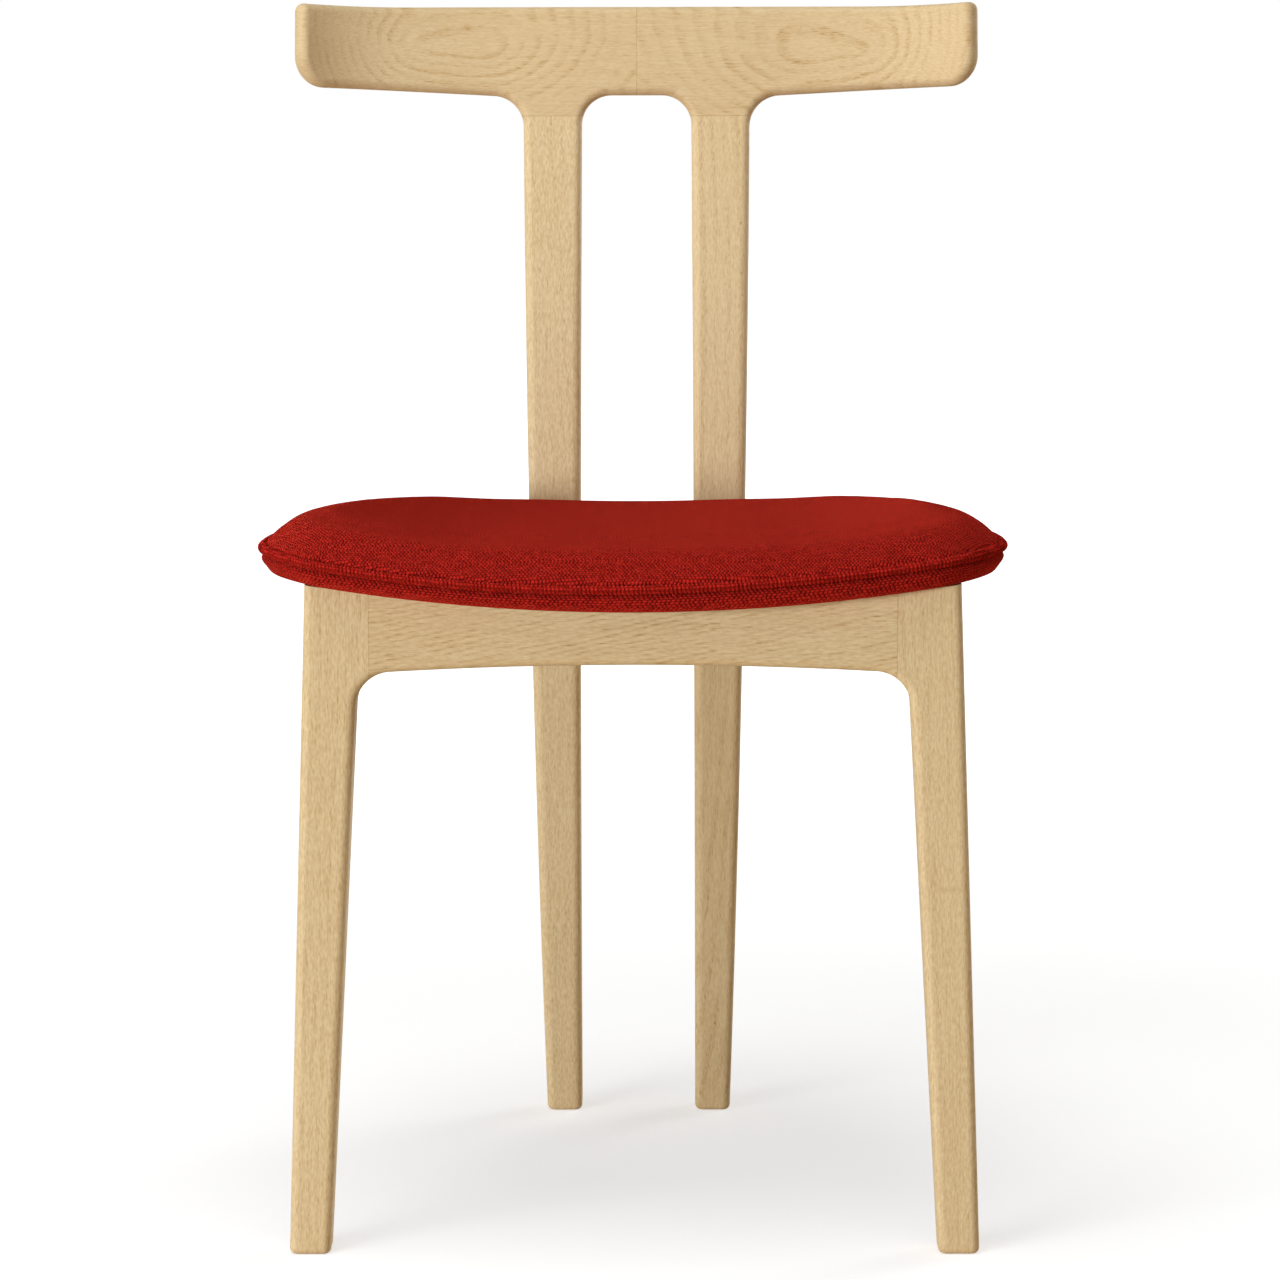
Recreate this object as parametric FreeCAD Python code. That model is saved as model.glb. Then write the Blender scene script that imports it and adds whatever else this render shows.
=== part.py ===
import FreeCAD, Part
import math
import os

Vec = FreeCAD.Vector

# All sizes are in millimetres. +Z is up, the sitter faces -Y and +X is to the right in the front view.
# Depths named "back" are measured backwards from the front faces of the front legs.

# Front legs
leg_inset = 18.1              # edge of the seat to the outer face of a front foot
foot_width = 26.3
foot_depth = 27.0
leg_trim = 3.8                # top of the leg above the welt, before the seat trims it
leg_splay = 14.3              # how far the outer face leans in over that height
leg_head_width = 35.8
leg_head_depth = 34.0

# Front rail
front_seam_inset = 54.5       # outer face of a front foot to the seam of leg and rail
front_rail_thickness = 24.0
front_rail_drop = 57.9        # welt to the rail's lower edge, where that would meet the leg
front_rail_arch = 5.5         # rise of the lower edge in the middle
shoulder_radius = 23.0        # hollow curve from leg to rail

# Back posts
post_foot_half_gap = 40.8     # middle of the chair to the inner face, at the floor
post_head_half_gap = 38.6     # the same at the top rail
post_foot_width = 24.9
post_head_width = 41.2
post_belly = 2.0              # outward bow of the outer face
post_hollow = 0.35            # the same of the inner face
post_seat_gap = 7.0           # rear of the seat to the waist of a post
post_waist_rise = 7.8         # waist of a post above the welt
post_foot_rake = 28.0         # how far the foot lies behind the waist
post_head_rake = 38.0         # how far the head lies behind the waist
post_foot_depth = 27.0
post_waist_depth = 33.0
post_head_depth = 25.0

# Top rail
top_rail_height = 790.0       # upper edge in the middle
post_joint_drop = 76.0        # upper edge to the seam with a post
top_rail_drop = 61.9          # upper edge to the lower edge between the posts
wing_root_drop = 63.3         # the same where a wing would meet the post
wing_tip_drop = 54.4          # the same at the tip
wing_tip_rise = 3.8           # how far the upper edge climbs at the tip
wing_rise_lead = 8.0          # start of that climb before the tighter bend
wing_root_length = 8.0        # straight part of a wing past the post, seen from above
wing_sweep_length = 80.0      # swept part, before the tighter bend
wing_bend_radius = 134.0
wing_sweep_radius = 420.0
wing_tip_angle = 42.0         # turn of the tip towards the sitter, in degrees
wing_tip_thickness = 14.0
wing_tip_lower_radius = 20.0
wing_tip_upper_radius = 6.0
stub_outer_radius = 22.0
stub_inner_radius = 21.0

# Rounding of the wood
edge_radius = 5.5
foot_radius = 4.0
rail_edge_radius = 3.0

# Seat rails and blocks
side_rail_thickness = 22.0
side_rail_drop = 44.0         # depth of a side rail below the seat, at its front end
side_rail_front_inset = 18.0  # outer face of the leg to the middle of the side rail
side_rail_rear_inset = 14.0   # outer face of the post to the middle of the side rail
side_rail_past = 11.0         # extra length at each end, scribed away
rear_rail_drop = 46.0
rear_rail_thickness = 20.0
rear_rail_gap = 2.0           # top of the rear rail below the line of the seat
rear_rail_set_back = 6.0      # front face behind the foremost line of the posts
block_drop = 30.0             # height of the corner blocks below the seat
front_block_reach = 62.0      # along the front rail
front_block_start = 20.0      # along the side rail, from the leg
front_block_run = 66.0        # the same, to the block's far corner
rear_block_depth = 60.0
rear_block_tongue_gap = 2.0   # each side of the tongue to a post

# Joints
dowel_radius = 4.0
dowel_length = 36.0
dowel_spacing = 18.0
rear_dowel_spacing = 11.0
dowel_clearance = 0.1
dowel_end_room = 1.0
short_dowel_bite = 11.0       # how far a side rail dowel enters the leg or the post
tenon_width = 20.0
tenon_thickness = 8.0
tenon_length = 40.0
tenon_clearance = 0.1

# Seat
seat_overhang = 40.0          # front of the welt ahead of the front legs
seat_half_width = 238.6
seat_depth = 405.0
seat_front_radius = 760.0
seat_front_angle = 14.0       # half of the front curve's turn, in degrees
seat_side_turn = 28.0         # turn of each side from its widest point to the rear corner
seat_rear_radius = 70.0
seat_welt_height = 432.2      # middle of the welt at the front
seat_dish_radius = 1450.0
seat_tilt = 1.0               # backward slope, in degrees
seat_crown = 27.0             # top of the pad above the welt
pad_section = (               # side of the pad: in from the edge of the welt, above its middle
    (6.9, 3.2), (8.4, 5.5), (13.2, 11.0), (20.4, 16.0),
    (31.2, 20.0), (48.0, 23.2), (82.0, 25.8), (139.0, 26.9))
shell_thickness = 10.0
shell_top_drop = 4.0          # shell's upper face below the middle of the welt
shell_inset = 9.5             # edge of the welt to the edge of the shell
cloth_thickness = 1.2
welt_radius = 3.2
band_section = (              # band: in from the edge of the welt, above the seat's underside
    (20.0, -2.5), (8.2, 0.4), (4.4, 3.6), (3.4, 8.0))
hem_inset = 29.0              # edge of the welt to the inner edge of the hem
hem_gap = 0.5                 # hem to the dust cover

# Seat fixings
bolt_radius = 3.0
bolt_clearance = 0.4
bolt_head_radius = 5.5
bolt_head_height = 5.0
washer_radius = 8.0
washer_thickness = 1.6
tee_nut_radius = 4.0
tee_nut_flange_radius = 9.5
tee_nut_flange = 1.5
tee_nut_sink = 2.4            # flange's upper face below the shell's upper face
front_bolt_inset = 38.0       # seam of leg and rail to the bolt
front_bolt_back = 44.0
rear_bolt_half_span = 30.0
rear_bolt_inset = 20.0        # front of the rear block to the bolts
screw_radius = 2.0
screw_length = 38.0
screw_head_radius = 4.0
screw_head_height = 3.0
screw_clearance = 0.1         # round the head, in its hole
screw_bite = 16.0             # how far a block screw enters a rail
screw_stagger = 10.0          # height between the two screws of a block
front_screw_inset = 21.0      # seam of the front rail to the screw
side_screw_run = 41.0         # leg to the screw, along the side rail
rear_screw_half_span = 15.0
staple_width = 9.0
staple_wire = 0.9
staple_leg = 6.0
staple_inset = 42.0           # edge of the welt to a staple
staple_front_spans = (24.0, 72.0)
staple_rail_gap = 2.0         # staple beside a side rail

# Places that follow from the sizes
foot_half_span = seat_half_width - leg_inset
leg_height = seat_welt_height + leg_trim
front_rail_half = foot_half_span - front_seam_inset
front_rail_end_height = seat_welt_height - front_rail_drop
post_waist_back = seat_depth - seat_overhang + post_seat_gap
post_waist_height = seat_welt_height + post_waist_rise
post_foot_back = post_waist_back + post_foot_rake
post_head_back = post_waist_back + post_head_rake
post_head_outer = post_head_half_gap + post_head_width
post_joint_height = top_rail_height - post_joint_drop
top_rail_under = top_rail_height - top_rail_drop
wing_root_under = top_rail_height - wing_root_drop
wing_tip_under = top_rail_height - wing_tip_drop
wing_straight = post_head_outer + wing_root_length
wing_bend_start = wing_straight + wing_sweep_length
wing_rise_start = wing_bend_start - wing_rise_lead

FAR = 900.0                   # past every edge of the chair
FLAT = 0.01                   # smallest difference that counts
MIDDLE_SCALE = 0.12           # size of the flat ring that closes a dished body
ACROSS = 0.6                  # share of its length that an edge across the depth has in that direction


def circle_through(a, b, c):
    """Centre and radius of the circle through three (back, height) points."""
    d = 2 * (a[0] * (b[1] - c[1]) + b[0] * (c[1] - a[1]) + c[0] * (a[1] - b[1]))
    squares = [p[0] ** 2 + p[1] ** 2 for p in (a, b, c)]
    x = (squares[0] * (b[1] - c[1]) + squares[1] * (c[1] - a[1]) + squares[2] * (a[1] - b[1])) / d
    y = (squares[0] * (c[0] - b[0]) + squares[1] * (a[0] - c[0]) + squares[2] * (b[0] - a[0])) / d
    return x, y, math.hypot(a[0] - x, a[1] - y)


post_front_circle = circle_through(
    (post_foot_back, 0.0), (post_waist_back, post_waist_height), (post_head_back, post_joint_height))
post_rear_circle = circle_through(
    (post_foot_back + post_foot_depth, 0.0), (post_waist_back + post_waist_depth, post_waist_height),
    (post_head_back + post_head_depth, post_joint_height))


def post_face(circle, height):
    """Depth of a curved face of a back post at a height."""
    middle, level, radius = circle
    return middle - math.sqrt(radius ** 2 - (height - level) ** 2)


post_nearest_back = post_front_circle[0] - post_front_circle[2]
rear_rail_back = post_nearest_back + rear_rail_set_back

# Backward lean of the top rail, which carries on the line of the posts
rail_lean = (post_joint_height - post_front_circle[1]) / math.sqrt(
    post_front_circle[2] ** 2 - (post_joint_height - post_front_circle[1]) ** 2)
rounding_loss = edge_radius * (rail_lean + math.hypot(1.0, rail_lean) - 1.0)
chair_back = post_head_back + post_head_depth - rounding_loss
chair_back += rail_lean * (top_rail_height - post_joint_height)

# The origin is on the floor in the middle of the chair's box.
leg_front_y = (seat_overhang - chair_back) / 2
seat_front_y = leg_front_y - seat_overhang


def y_at(back):
    return leg_front_y + back


def at(x, back, z):
    return Vec(x, y_at(back), z)


def line(a, b):
    return Part.LineSegment(a, b).toShape()


def arc(a, b, c):
    return Part.Arc(a, b, c).toShape()


def prism(edges, direction):
    return Part.Face(Part.Wire(edges)).extrude(direction)


def polygon_prism(points, direction):
    return Part.Face(Part.makePolygon(points + [points[0]])).extrude(direction)


def slab_between(x0, x1, z0, z1):
    """Box that is open to front and back, for parting a profile."""
    return Part.makeBox(x1 - x0, 2 * FAR, z1 - z0, Vec(x0, -FAR, z0))


def mirrored(shape):
    return shape.mirror(Vec(0, 0, 0), Vec(1, 0, 0))


def both_sides(shapes):
    return shapes + [mirrored(shape) for shape in shapes]


def ends(edge):
    return edge.Vertexes[0].Point, edge.Vertexes[-1].Point


def crosses_depth(edge):
    """True for an edge that joins a front face to a back face."""
    a, b = ends(edge)
    return abs(a.y - b.y) > ACROSS * edge.Length


def lies_on(edge, axis, value):
    box = edge.BoundBox
    low, high = {"x": (box.XMin, box.XMax), "z": (box.ZMin, box.ZMax)}[axis]
    return abs(low - value) < FLAT and abs(high - value) < FLAT


def round_long_edges(shape, radius, planes):
    """Round every edge along a front or back face, apart from those in the given planes."""
    chosen = []
    for edge in shape.Edges:
        if crosses_depth(edge) or any(lies_on(edge, axis, value) for axis, value in planes):
            continue
        chosen.append(edge)
    return shape.makeFillet(radius, chosen)


def round_foot(shape):
    return shape.makeFillet(foot_radius, [e for e in shape.Edges if lies_on(e, "z", 0.0)])


def edges_across(shape, x, z):
    """Edges that run front to back through one point of a profile."""
    found = []
    for edge in shape.Edges:
        a, b = ends(edge)
        if max(abs(a.x - x), abs(b.x - x), abs(a.z - z), abs(b.z - z)) < FLAT:
            found.append(edge)
    return found


# Seat surfaces

def heading_step(radius, start, end):
    """Plan step along an arc that turns from one heading to another."""
    return (radius * (math.sin(end) - math.sin(start)), radius * (math.cos(start) - math.cos(end)))


def seat_arcs():
    """Plan arcs of the seat's edge as (start, middle, end), round from the front."""
    front = math.radians(seat_front_angle)
    side = math.radians(seat_side_turn)
    square = math.pi / 2
    front_half = seat_front_radius * math.sin(front)
    corner_radius = (seat_half_width - front_half) / (1 - math.sin(front))
    used = seat_front_radius * (1 - math.cos(front)) + corner_radius * math.cos(front)
    used += seat_rear_radius * (1 - math.sin(side))
    side_radius = (seat_depth - used) / math.sin(side)
    point = (front_half, seat_front_y + seat_front_radius * (1 - math.cos(front)))
    turns = [
        (corner_radius, front, square),
        (side_radius, square, square + side),
        (seat_rear_radius, square + side, math.pi),
    ]
    right = []
    for radius, start, end in turns:
        middle = heading_step(radius, start, (start + end) / 2)
        whole = heading_step(radius, start, end)
        right.append((point,
                      (point[0] + middle[0], point[1] + middle[1]),
                      (point[0] + whole[0], point[1] + whole[1])))
        point = right[-1][2]
    left = [tuple((-p[0], p[1]) for p in reversed(step)) for step in reversed(right)]
    front_arc = (left[-1][2], (0.0, seat_front_y), right[0][0])
    rear_line = (right[-1][2], (0.0, right[-1][2][1]), left[0][0])
    return [front_arc] + right + [rear_line] + left


SEAT_ARCS = seat_arcs()
seat_middle_y = seat_front_y + seat_depth / 2


def dish(x):
    return seat_dish_radius - math.sqrt(seat_dish_radius ** 2 - x ** 2)


def seat_ring(scale, height, flat=False):
    """Closed line round the seat: the plan outline drawn in to a scale and laid on the dish."""
    edges = []
    for step in SEAT_ARCS:
        points = []
        for x, y in step:
            x = x * scale
            y = seat_middle_y + (y - seat_middle_y) * scale
            lift = 0.0 if flat else dish(x)
            points.append(Vec(x, y, seat_welt_height + height + lift))
        straight = abs(step[0][1] - step[2][1]) < FLAT and abs(step[0][1] - step[1][1]) < FLAT
        if flat and straight:
            edges.append(line(points[0], points[2]))
        else:
            edges.append(arc(*points))
    return Part.Wire(edges)


def dished_body(rings, ruled):
    """Solid through rings from below to above, straight or curved between them."""
    return Part.makeLoft([seat_ring(*ring) for ring in rings], True, ruled, False, 2)


def inset_scale(inset):
    """Scale of the ring that lies so far in from the edge of the welt."""
    return 1.0 - inset / seat_half_width


def seat_prism(inset):
    """Upright block inside the outline, tall enough for the whole seat."""
    low = seat_ring(inset_scale(inset), -FAR / 2, True)
    return Part.Face(low).extrude(Vec(0, 0, FAR))


def above_dish(height):
    """Everything above the dished surface at a height from the middle of the welt."""
    level = seat_welt_height + height
    left = Vec(-FAR / 2, -FAR, level + dish(FAR / 2))
    right = Vec(FAR / 2, -FAR, level + dish(FAR / 2))
    up = Vec(0, 0, FAR)
    return prism([arc(left, Vec(0, -FAR, level), right), line(right, right + up),
                  line(right + up, left + up), line(left + up, left)], Vec(0, 2 * FAR, 0))


def tilted(shape):
    copy = shape.copy()
    copy.rotate(Vec(0, seat_front_y, seat_welt_height), Vec(1, 0, 0), -seat_tilt)
    return copy


shell_under = shell_top_drop + shell_thickness
seat_under = shell_under + cloth_thickness


def seat_under_z(x, y):
    """Height of the seat's underside at a place in plan."""
    slope = math.tan(math.radians(seat_tilt))
    return seat_welt_height - seat_under + dish(x) - slope * (y - seat_front_y)


def pad_rings(skin):
    """Rings of the pad's top, drawn in by a skin thickness."""
    side = [(inset_scale(inset + skin), height - skin) for inset, height in pad_section]
    edge = side[0][0]
    below = [(edge, -seat_crown, True), (edge, -seat_crown / 2), (edge, 0.0)]
    return below + side + [(MIDDLE_SCALE, seat_crown - skin, True)]


def make_welt():
    """Cord round the seat, flat where the cover and the band are sewn to it."""
    half = welt_radius
    lean = half * math.sqrt(0.5)
    inner = inset_scale(hem_inset)
    rings = [(MIDDLE_SCALE, -half, True), (inner, -half), (inset_scale(half), -half)]
    rings += [(inset_scale(half - lean), -lean), (1.0, 0.0), (inset_scale(half - lean), lean)]
    rings += [(inset_scale(half), half), (inner, half), (MIDDLE_SCALE, half, True)]
    return dished_body(rings, True).cut(seat_prism(2 * half))


def make_band(welt, inside):
    """Cloth from the welt round the edge of the shell and under it."""
    side = [(inset_scale(inset), height - seat_under) for inset, height in band_section]
    rings = [(MIDDLE_SCALE, 2 * side[0][1], True)] + side
    rings += [(side[-1][0], 2 * welt_radius), (MIDDLE_SCALE, seat_crown, True)]
    band = dished_body(rings, True).common(above_dish(-seat_under)).cut(above_dish(welt_radius))
    return band.cut(inside.common(above_dish(-shell_under))).cut(seat_prism(hem_inset)).cut(welt)


def make_seat():
    """Shell, foam, cover, welt, band and dust cover, before they are tilted and drilled."""
    welt = make_welt()
    inside = seat_prism(shell_inset)
    above_welt = above_dish(welt_radius)
    above_shell = above_dish(-shell_top_drop)
    below_shell = above_dish(-seat_under).cut(above_dish(-shell_under))
    core = dished_body(pad_rings(cloth_thickness), False)
    parts = {
        "shell": inside.common(above_dish(-shell_under)).cut(above_shell),
        "foam": inside.common(above_shell).cut(above_welt).fuse(core.common(above_welt)).removeSplitter(),
        "cover": dished_body(pad_rings(0.0), False).cut(core).common(above_welt),
        "welt": welt,
        "band": make_band(welt, inside),
        "dust": seat_prism(hem_inset + hem_gap).common(below_shell),
    }
    return {name: tilted(shape) for name, shape in parts.items()}


# Wooden frame

def front_profile():
    """Both front legs and the front rail as one board, before it is parted at the seams."""
    foot_inner = foot_half_span - foot_width
    head_outer = foot_half_span - leg_splay
    head_inner = head_outer - leg_head_width
    corner = foot_inner + (head_inner - foot_inner) * front_rail_end_height / leg_height
    crown_z = front_rail_end_height + front_rail_arch
    left = [at(-corner, 0, front_rail_end_height), at(-foot_inner, 0, 0), at(-foot_half_span, 0, 0)]
    right = [at(foot_half_span, 0, 0), at(foot_inner, 0, 0), at(corner, 0, front_rail_end_height)]
    path = left + [at(-head_outer, 0, leg_height), at(head_outer, 0, leg_height)] + right
    edges = [line(a, b) for a, b in zip(path, path[1:])]
    edges.append(arc(path[-1], at(0, 0, crown_z), path[0]))
    board = prism(edges, Vec(0, leg_head_depth, 0))
    corners = edges_across(board, corner, front_rail_end_height)
    corners += edges_across(board, -corner, front_rail_end_height)
    return board.makeFillet(shoulder_radius, corners)


def make_front_leg(board):
    """Right front leg, with the taper of its depth."""
    side = polygon_prism([
        Vec(0, y_at(0), 0), Vec(0, y_at(foot_depth), 0),
        Vec(0, y_at(leg_head_depth), leg_height), Vec(0, y_at(0), leg_height)], Vec(FAR, 0, 0))
    leg = board.common(slab_between(front_rail_half, FAR, 0, leg_height)).common(side)
    leg = round_long_edges(leg, edge_radius, [("x", front_rail_half), ("z", 0.0), ("z", leg_height)])
    return round_foot(leg)


def make_front_rail(board):
    body = Part.makeBox(2 * front_rail_half, front_rail_thickness, leg_height,
                        at(-front_rail_half, 0, 0))
    rail = board.common(body)
    planes = [("x", front_rail_half), ("x", -front_rail_half), ("z", leg_height)]
    return round_long_edges(rail, edge_radius, planes)


def back_profile():
    """Right half of the back as one board: post, stub and wing."""
    reach = wing_tip_x + wing_tip_thickness
    per_length = (wing_tip_under - wing_root_under) / (wing_tip_x - post_head_outer)
    tip_under = wing_root_under + per_length * (reach - post_head_outer)
    rise_radius = (wing_tip_x - wing_rise_start) ** 2 / (2 * wing_tip_rise)

    def top(x):
        return top_rail_height + (x - wing_rise_start) ** 2 / (2 * rise_radius)

    foot_outer = post_foot_half_gap + post_foot_width
    belly = ((foot_outer + post_head_outer) / 2 + post_belly, wing_root_under / 2)
    hollow = ((post_foot_half_gap + post_head_half_gap) / 2 + post_hollow, top_rail_under / 2)
    half_rise = (wing_rise_start + reach) / 2
    corner_inner = at(post_head_half_gap, 0, top_rail_under)
    corner_outer = at(post_head_outer, 0, wing_root_under)
    edges = [
        line(at(0, 0, top_rail_under), corner_inner),
        arc(corner_inner, at(hollow[0], 0, hollow[1]), at(post_foot_half_gap, 0, 0)),
        line(at(post_foot_half_gap, 0, 0), at(foot_outer, 0, 0)),
        arc(at(foot_outer, 0, 0), at(belly[0], 0, belly[1]), corner_outer),
        line(corner_outer, at(reach, 0, tip_under)),
        line(at(reach, 0, tip_under), at(reach, 0, top(reach))),
        arc(at(reach, 0, top(reach)), at(half_rise, 0, top(half_rise)),
            at(wing_rise_start, 0, top_rail_height)),
        line(at(wing_rise_start, 0, top_rail_height), at(0, 0, top_rail_height)),
        line(at(0, 0, top_rail_height), at(0, 0, top_rail_under)),
    ]
    board = prism(edges, Vec(0, chair_back + FAR, 0))
    board = board.makeFillet(stub_inner_radius, edges_across(board, post_head_half_gap, top_rail_under))
    return board.makeFillet(stub_outer_radius, edges_across(board, post_head_outer, wing_root_under))


def wing_front():
    """Plan of the wing's front face: end of the sweep, end of the bend, and their middles."""
    sweep = math.asin((wing_bend_start - wing_straight) / wing_sweep_radius)
    tip = math.radians(wing_tip_angle)

    def swept(turn):
        return (wing_straight + wing_sweep_radius * math.sin(turn),
                -wing_sweep_radius * (1 - math.cos(turn)))

    def bent(turn):
        start = swept(sweep)
        return (start[0] + wing_bend_radius * (math.sin(turn) - math.sin(sweep)),
                start[1] - wing_bend_radius * (math.cos(sweep) - math.cos(turn)))

    return [swept(sweep / 2), swept(sweep), bent((sweep + tip) / 2), bent(tip)]


def wing_back_end():
    tip = math.radians(wing_tip_angle)
    front = wing_front()[-1]
    return (front[0] + wing_tip_thickness * math.sin(tip), front[1] + wing_tip_thickness * math.cos(tip))


wing_tip_x = wing_back_end()[0]


def make_top_rail(board):
    """Right half of the top rail, with its stub."""
    front = [at(x, post_head_back + y, post_joint_height) for x, y in wing_front()]
    start = at(0, post_head_back, post_joint_height)
    bend = at(wing_straight, post_head_back, post_joint_height)
    end_x, end_y = wing_back_end()
    back_end = at(end_x, post_head_back + end_y, post_joint_height)
    back_bend = at(wing_straight, post_head_back + post_head_depth, post_joint_height)
    back_start = at(0, post_head_back + post_head_depth, post_joint_height)
    run = end_x - wing_straight
    fall = post_head_depth - end_y
    back_radius = (run ** 2 + fall ** 2) / (2 * fall)
    half_turn = math.asin(run / back_radius) / 2
    back_middle = back_bend + Vec(
        back_radius * math.sin(half_turn), -back_radius * (1 - math.cos(half_turn)), 0)
    edges = [
        line(start, bend),
        arc(bend, front[0], front[1]),
        arc(front[1], front[2], front[3]),
        line(front[3], back_end),
        arc(back_end, back_middle, back_bend),
        line(back_bend, back_start),
        line(back_start, start),
    ]
    plank = prism(edges, Vec(0, rail_lean, 1) * FAR)
    rail = board.common(slab_between(0, FAR, post_joint_height, FAR)).common(plank)
    middle_z = (top_rail_under + top_rail_height) / 2
    for radius, upper in ((wing_tip_lower_radius, False), (wing_tip_upper_radius, True)):
        tip = [e for e in rail.Edges if crosses_depth(e) and e.CenterOfMass.x > front[3].x - FLAT
               and (e.CenterOfMass.z > middle_z) == upper]
        rail = rail.makeFillet(radius, tip)
    return round_long_edges(rail, edge_radius, [("x", 0.0), ("z", post_joint_height)])


def make_post(board):
    """Right back post, curved in the side view."""
    top = post_joint_height + edge_radius

    def face(circle):
        return [Vec(0, y_at(post_face(circle, z)), z) for z in (0.0, post_waist_height, top)]

    front = face(post_front_circle)
    back = face(post_rear_circle)
    side = prism([arc(*front), line(front[2], back[2]), arc(back[2], back[1], back[0]),
                  line(back[0], front[0])], Vec(FAR, 0, 0))
    post = board.common(slab_between(0, FAR, 0, top)).common(side)
    post = round_long_edges(post, edge_radius, [("z", 0.0), ("z", top)])
    return round_foot(post).common(slab_between(0, FAR, 0, post_joint_height))


def side_rail_line():
    """Plan points on the middle of the right side rail: at the leg and at the post."""
    front_x = foot_half_span - leg_splay - side_rail_front_inset
    rear_z = seat_under_z(0, y_at(post_waist_back)) - side_rail_drop / 2
    share = rear_z / post_joint_height
    post_outer = post_foot_half_gap + post_foot_width
    post_outer += (post_head_outer - post_outer) * share
    rear = (post_outer - side_rail_rear_inset, y_at(post_face(post_front_circle, rear_z)))
    return (front_x, y_at(leg_head_depth)), rear


def along(start, end, distance, aside=0.0):
    """Plan point at a distance from start towards end, and so far to the right of that way."""
    length = math.hypot(end[0] - start[0], end[1] - start[1])
    ux, uy = (end[0] - start[0]) / length, (end[1] - start[1]) / length
    return (start[0] + ux * distance + uy * aside, start[1] + uy * distance - ux * aside)


def side_rail_slant():
    """Length of a side rail for each unit of depth."""
    front, rear = side_rail_line()
    return math.hypot(rear[0] - front[0], rear[1] - front[1]) / (rear[1] - front[1])


def side_rail_inner_x(y):
    """Where the inner face of the right side rail is at a depth."""
    front, rear = side_rail_line()
    middle = front[0] + (rear[0] - front[0]) * (y - front[1]) / (rear[1] - front[1])
    return middle - side_rail_thickness / 2 * side_rail_slant()


def make_side_rail(leg, post, ceiling):
    """Right side rail, scribed to the leg and the post."""
    front, rear = side_rail_line()
    length = math.hypot(rear[0] - front[0], rear[1] - front[1])
    past = side_rail_past
    half = side_rail_thickness / 2
    low = seat_under_z(front[0], front[1]) - side_rail_drop
    points = [along(front, rear, d, s) for d, s in (
        (-past, -half), (length + past, -half), (length + past, half), (-past, half))]
    rail = polygon_prism([Vec(x, y, low) for x, y in points], Vec(0, 0, 2 * side_rail_drop))
    rail = rail.makeFillet(rail_edge_radius, [
        e for e in rail.Edges if lies_on(e, "z", low) and e.Length > length])
    return rail.cut(ceiling).cut(leg).cut(post), low


def make_rear_rail(posts):
    """Short rail between the posts."""
    half = post_foot_half_gap + edge_radius
    top = seat_under_z(0, y_at(rear_rail_back)) - rear_rail_gap
    low = top - rear_rail_drop
    rail = Part.makeBox(2 * half, rear_rail_thickness, rear_rail_drop, at(-half, rear_rail_back, low))
    rail = rail.makeFillet(rail_edge_radius, [
        e for e in rail.Edges if lies_on(e, "z", low) and e.Length > 2 * post_head_half_gap])
    for post in posts:
        rail = rail.cut(post)
    return rail, low


def rod(point, direction, radius, length):
    return Part.makeCylinder(radius, length, point, direction)


def dowel_pair(point, direction, bite, spacing):
    """Two dowels one above the other, and the holes they sit in."""
    direction = Vec(direction).normalize()
    pins, holes = [], []
    for side in (-0.5, 0.5):
        start = point + Vec(0, 0, side * spacing) - direction * bite
        pins.append(rod(start, direction, dowel_radius, dowel_length))
        holes.append(rod(start - direction * dowel_end_room, direction, dowel_radius + dowel_clearance,
                         dowel_length + 2 * dowel_end_room))
    return pins, holes


def make_tenon(centre, long_axis, wide_axis):
    """Loose tenon and its mortise, square to the two given axes."""
    def block(grow):
        size = Vec(1, 1, 1) * (tenon_thickness + 2 * grow)
        size = size + long_axis * (tenon_length - tenon_thickness)
        size = size + wide_axis * (tenon_width - tenon_thickness)
        return Part.makeBox(size.x, size.y, size.z, centre - size * 0.5)

    return block(0.0), block(tenon_clearance)


def cut_all(shape, tools):
    return shape.cut(Part.makeCompound(tools))


def make_front_block(side_rail, front_rail, leg, ceiling, low):
    """Right corner block between the front rail and the side rail."""
    front, rear = side_rail_line()
    half = side_rail_thickness / 2
    near = along(front, rear, front_block_start, -half)
    far = along(front, rear, front_block_run, -half)
    rail_back = y_at(front_rail_thickness)
    seam = front_rail_half - edge_radius
    points = [(seam - front_block_reach, rail_back), (seam, rail_back), near, far]
    block = polygon_prism([Vec(x, y, low) for x, y in points], Vec(0, 0, 2 * block_drop))
    return block.cut(ceiling).cut(side_rail).cut(front_rail).cut(leg)


def make_rear_block(ceiling, low):
    """Cross block between the side rails, with a tongue between the posts to the rear rail."""
    near_y = y_at(post_nearest_back - rear_block_depth)
    far_y = y_at(post_nearest_back)
    tongue = post_head_half_gap - rear_block_tongue_gap
    right = [(side_rail_inner_x(near_y), near_y), (side_rail_inner_x(far_y), far_y),
             (tongue, far_y), (tongue, y_at(rear_rail_back))]
    points = right + [(-x, y) for x, y in reversed(right)]
    return polygon_prism([Vec(x, y, low) for x, y in points], Vec(0, 0, 2 * block_drop)).cut(ceiling)


def make_screw(tip, direction):
    """Block screw with its head at the far end from the tip, and the holes for it."""
    direction = Vec(direction).normalize()
    neck = tip - direction * screw_length
    head = neck - direction * screw_head_height
    body = rod(neck, direction, screw_radius, screw_length)
    body = body.fuse(rod(head, direction, screw_head_radius, screw_head_height)).removeSplitter()
    room = rod(head - direction * FAR, direction, screw_head_radius + screw_clearance,
               FAR + screw_head_height)
    return body, body.fuse(room)


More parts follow.
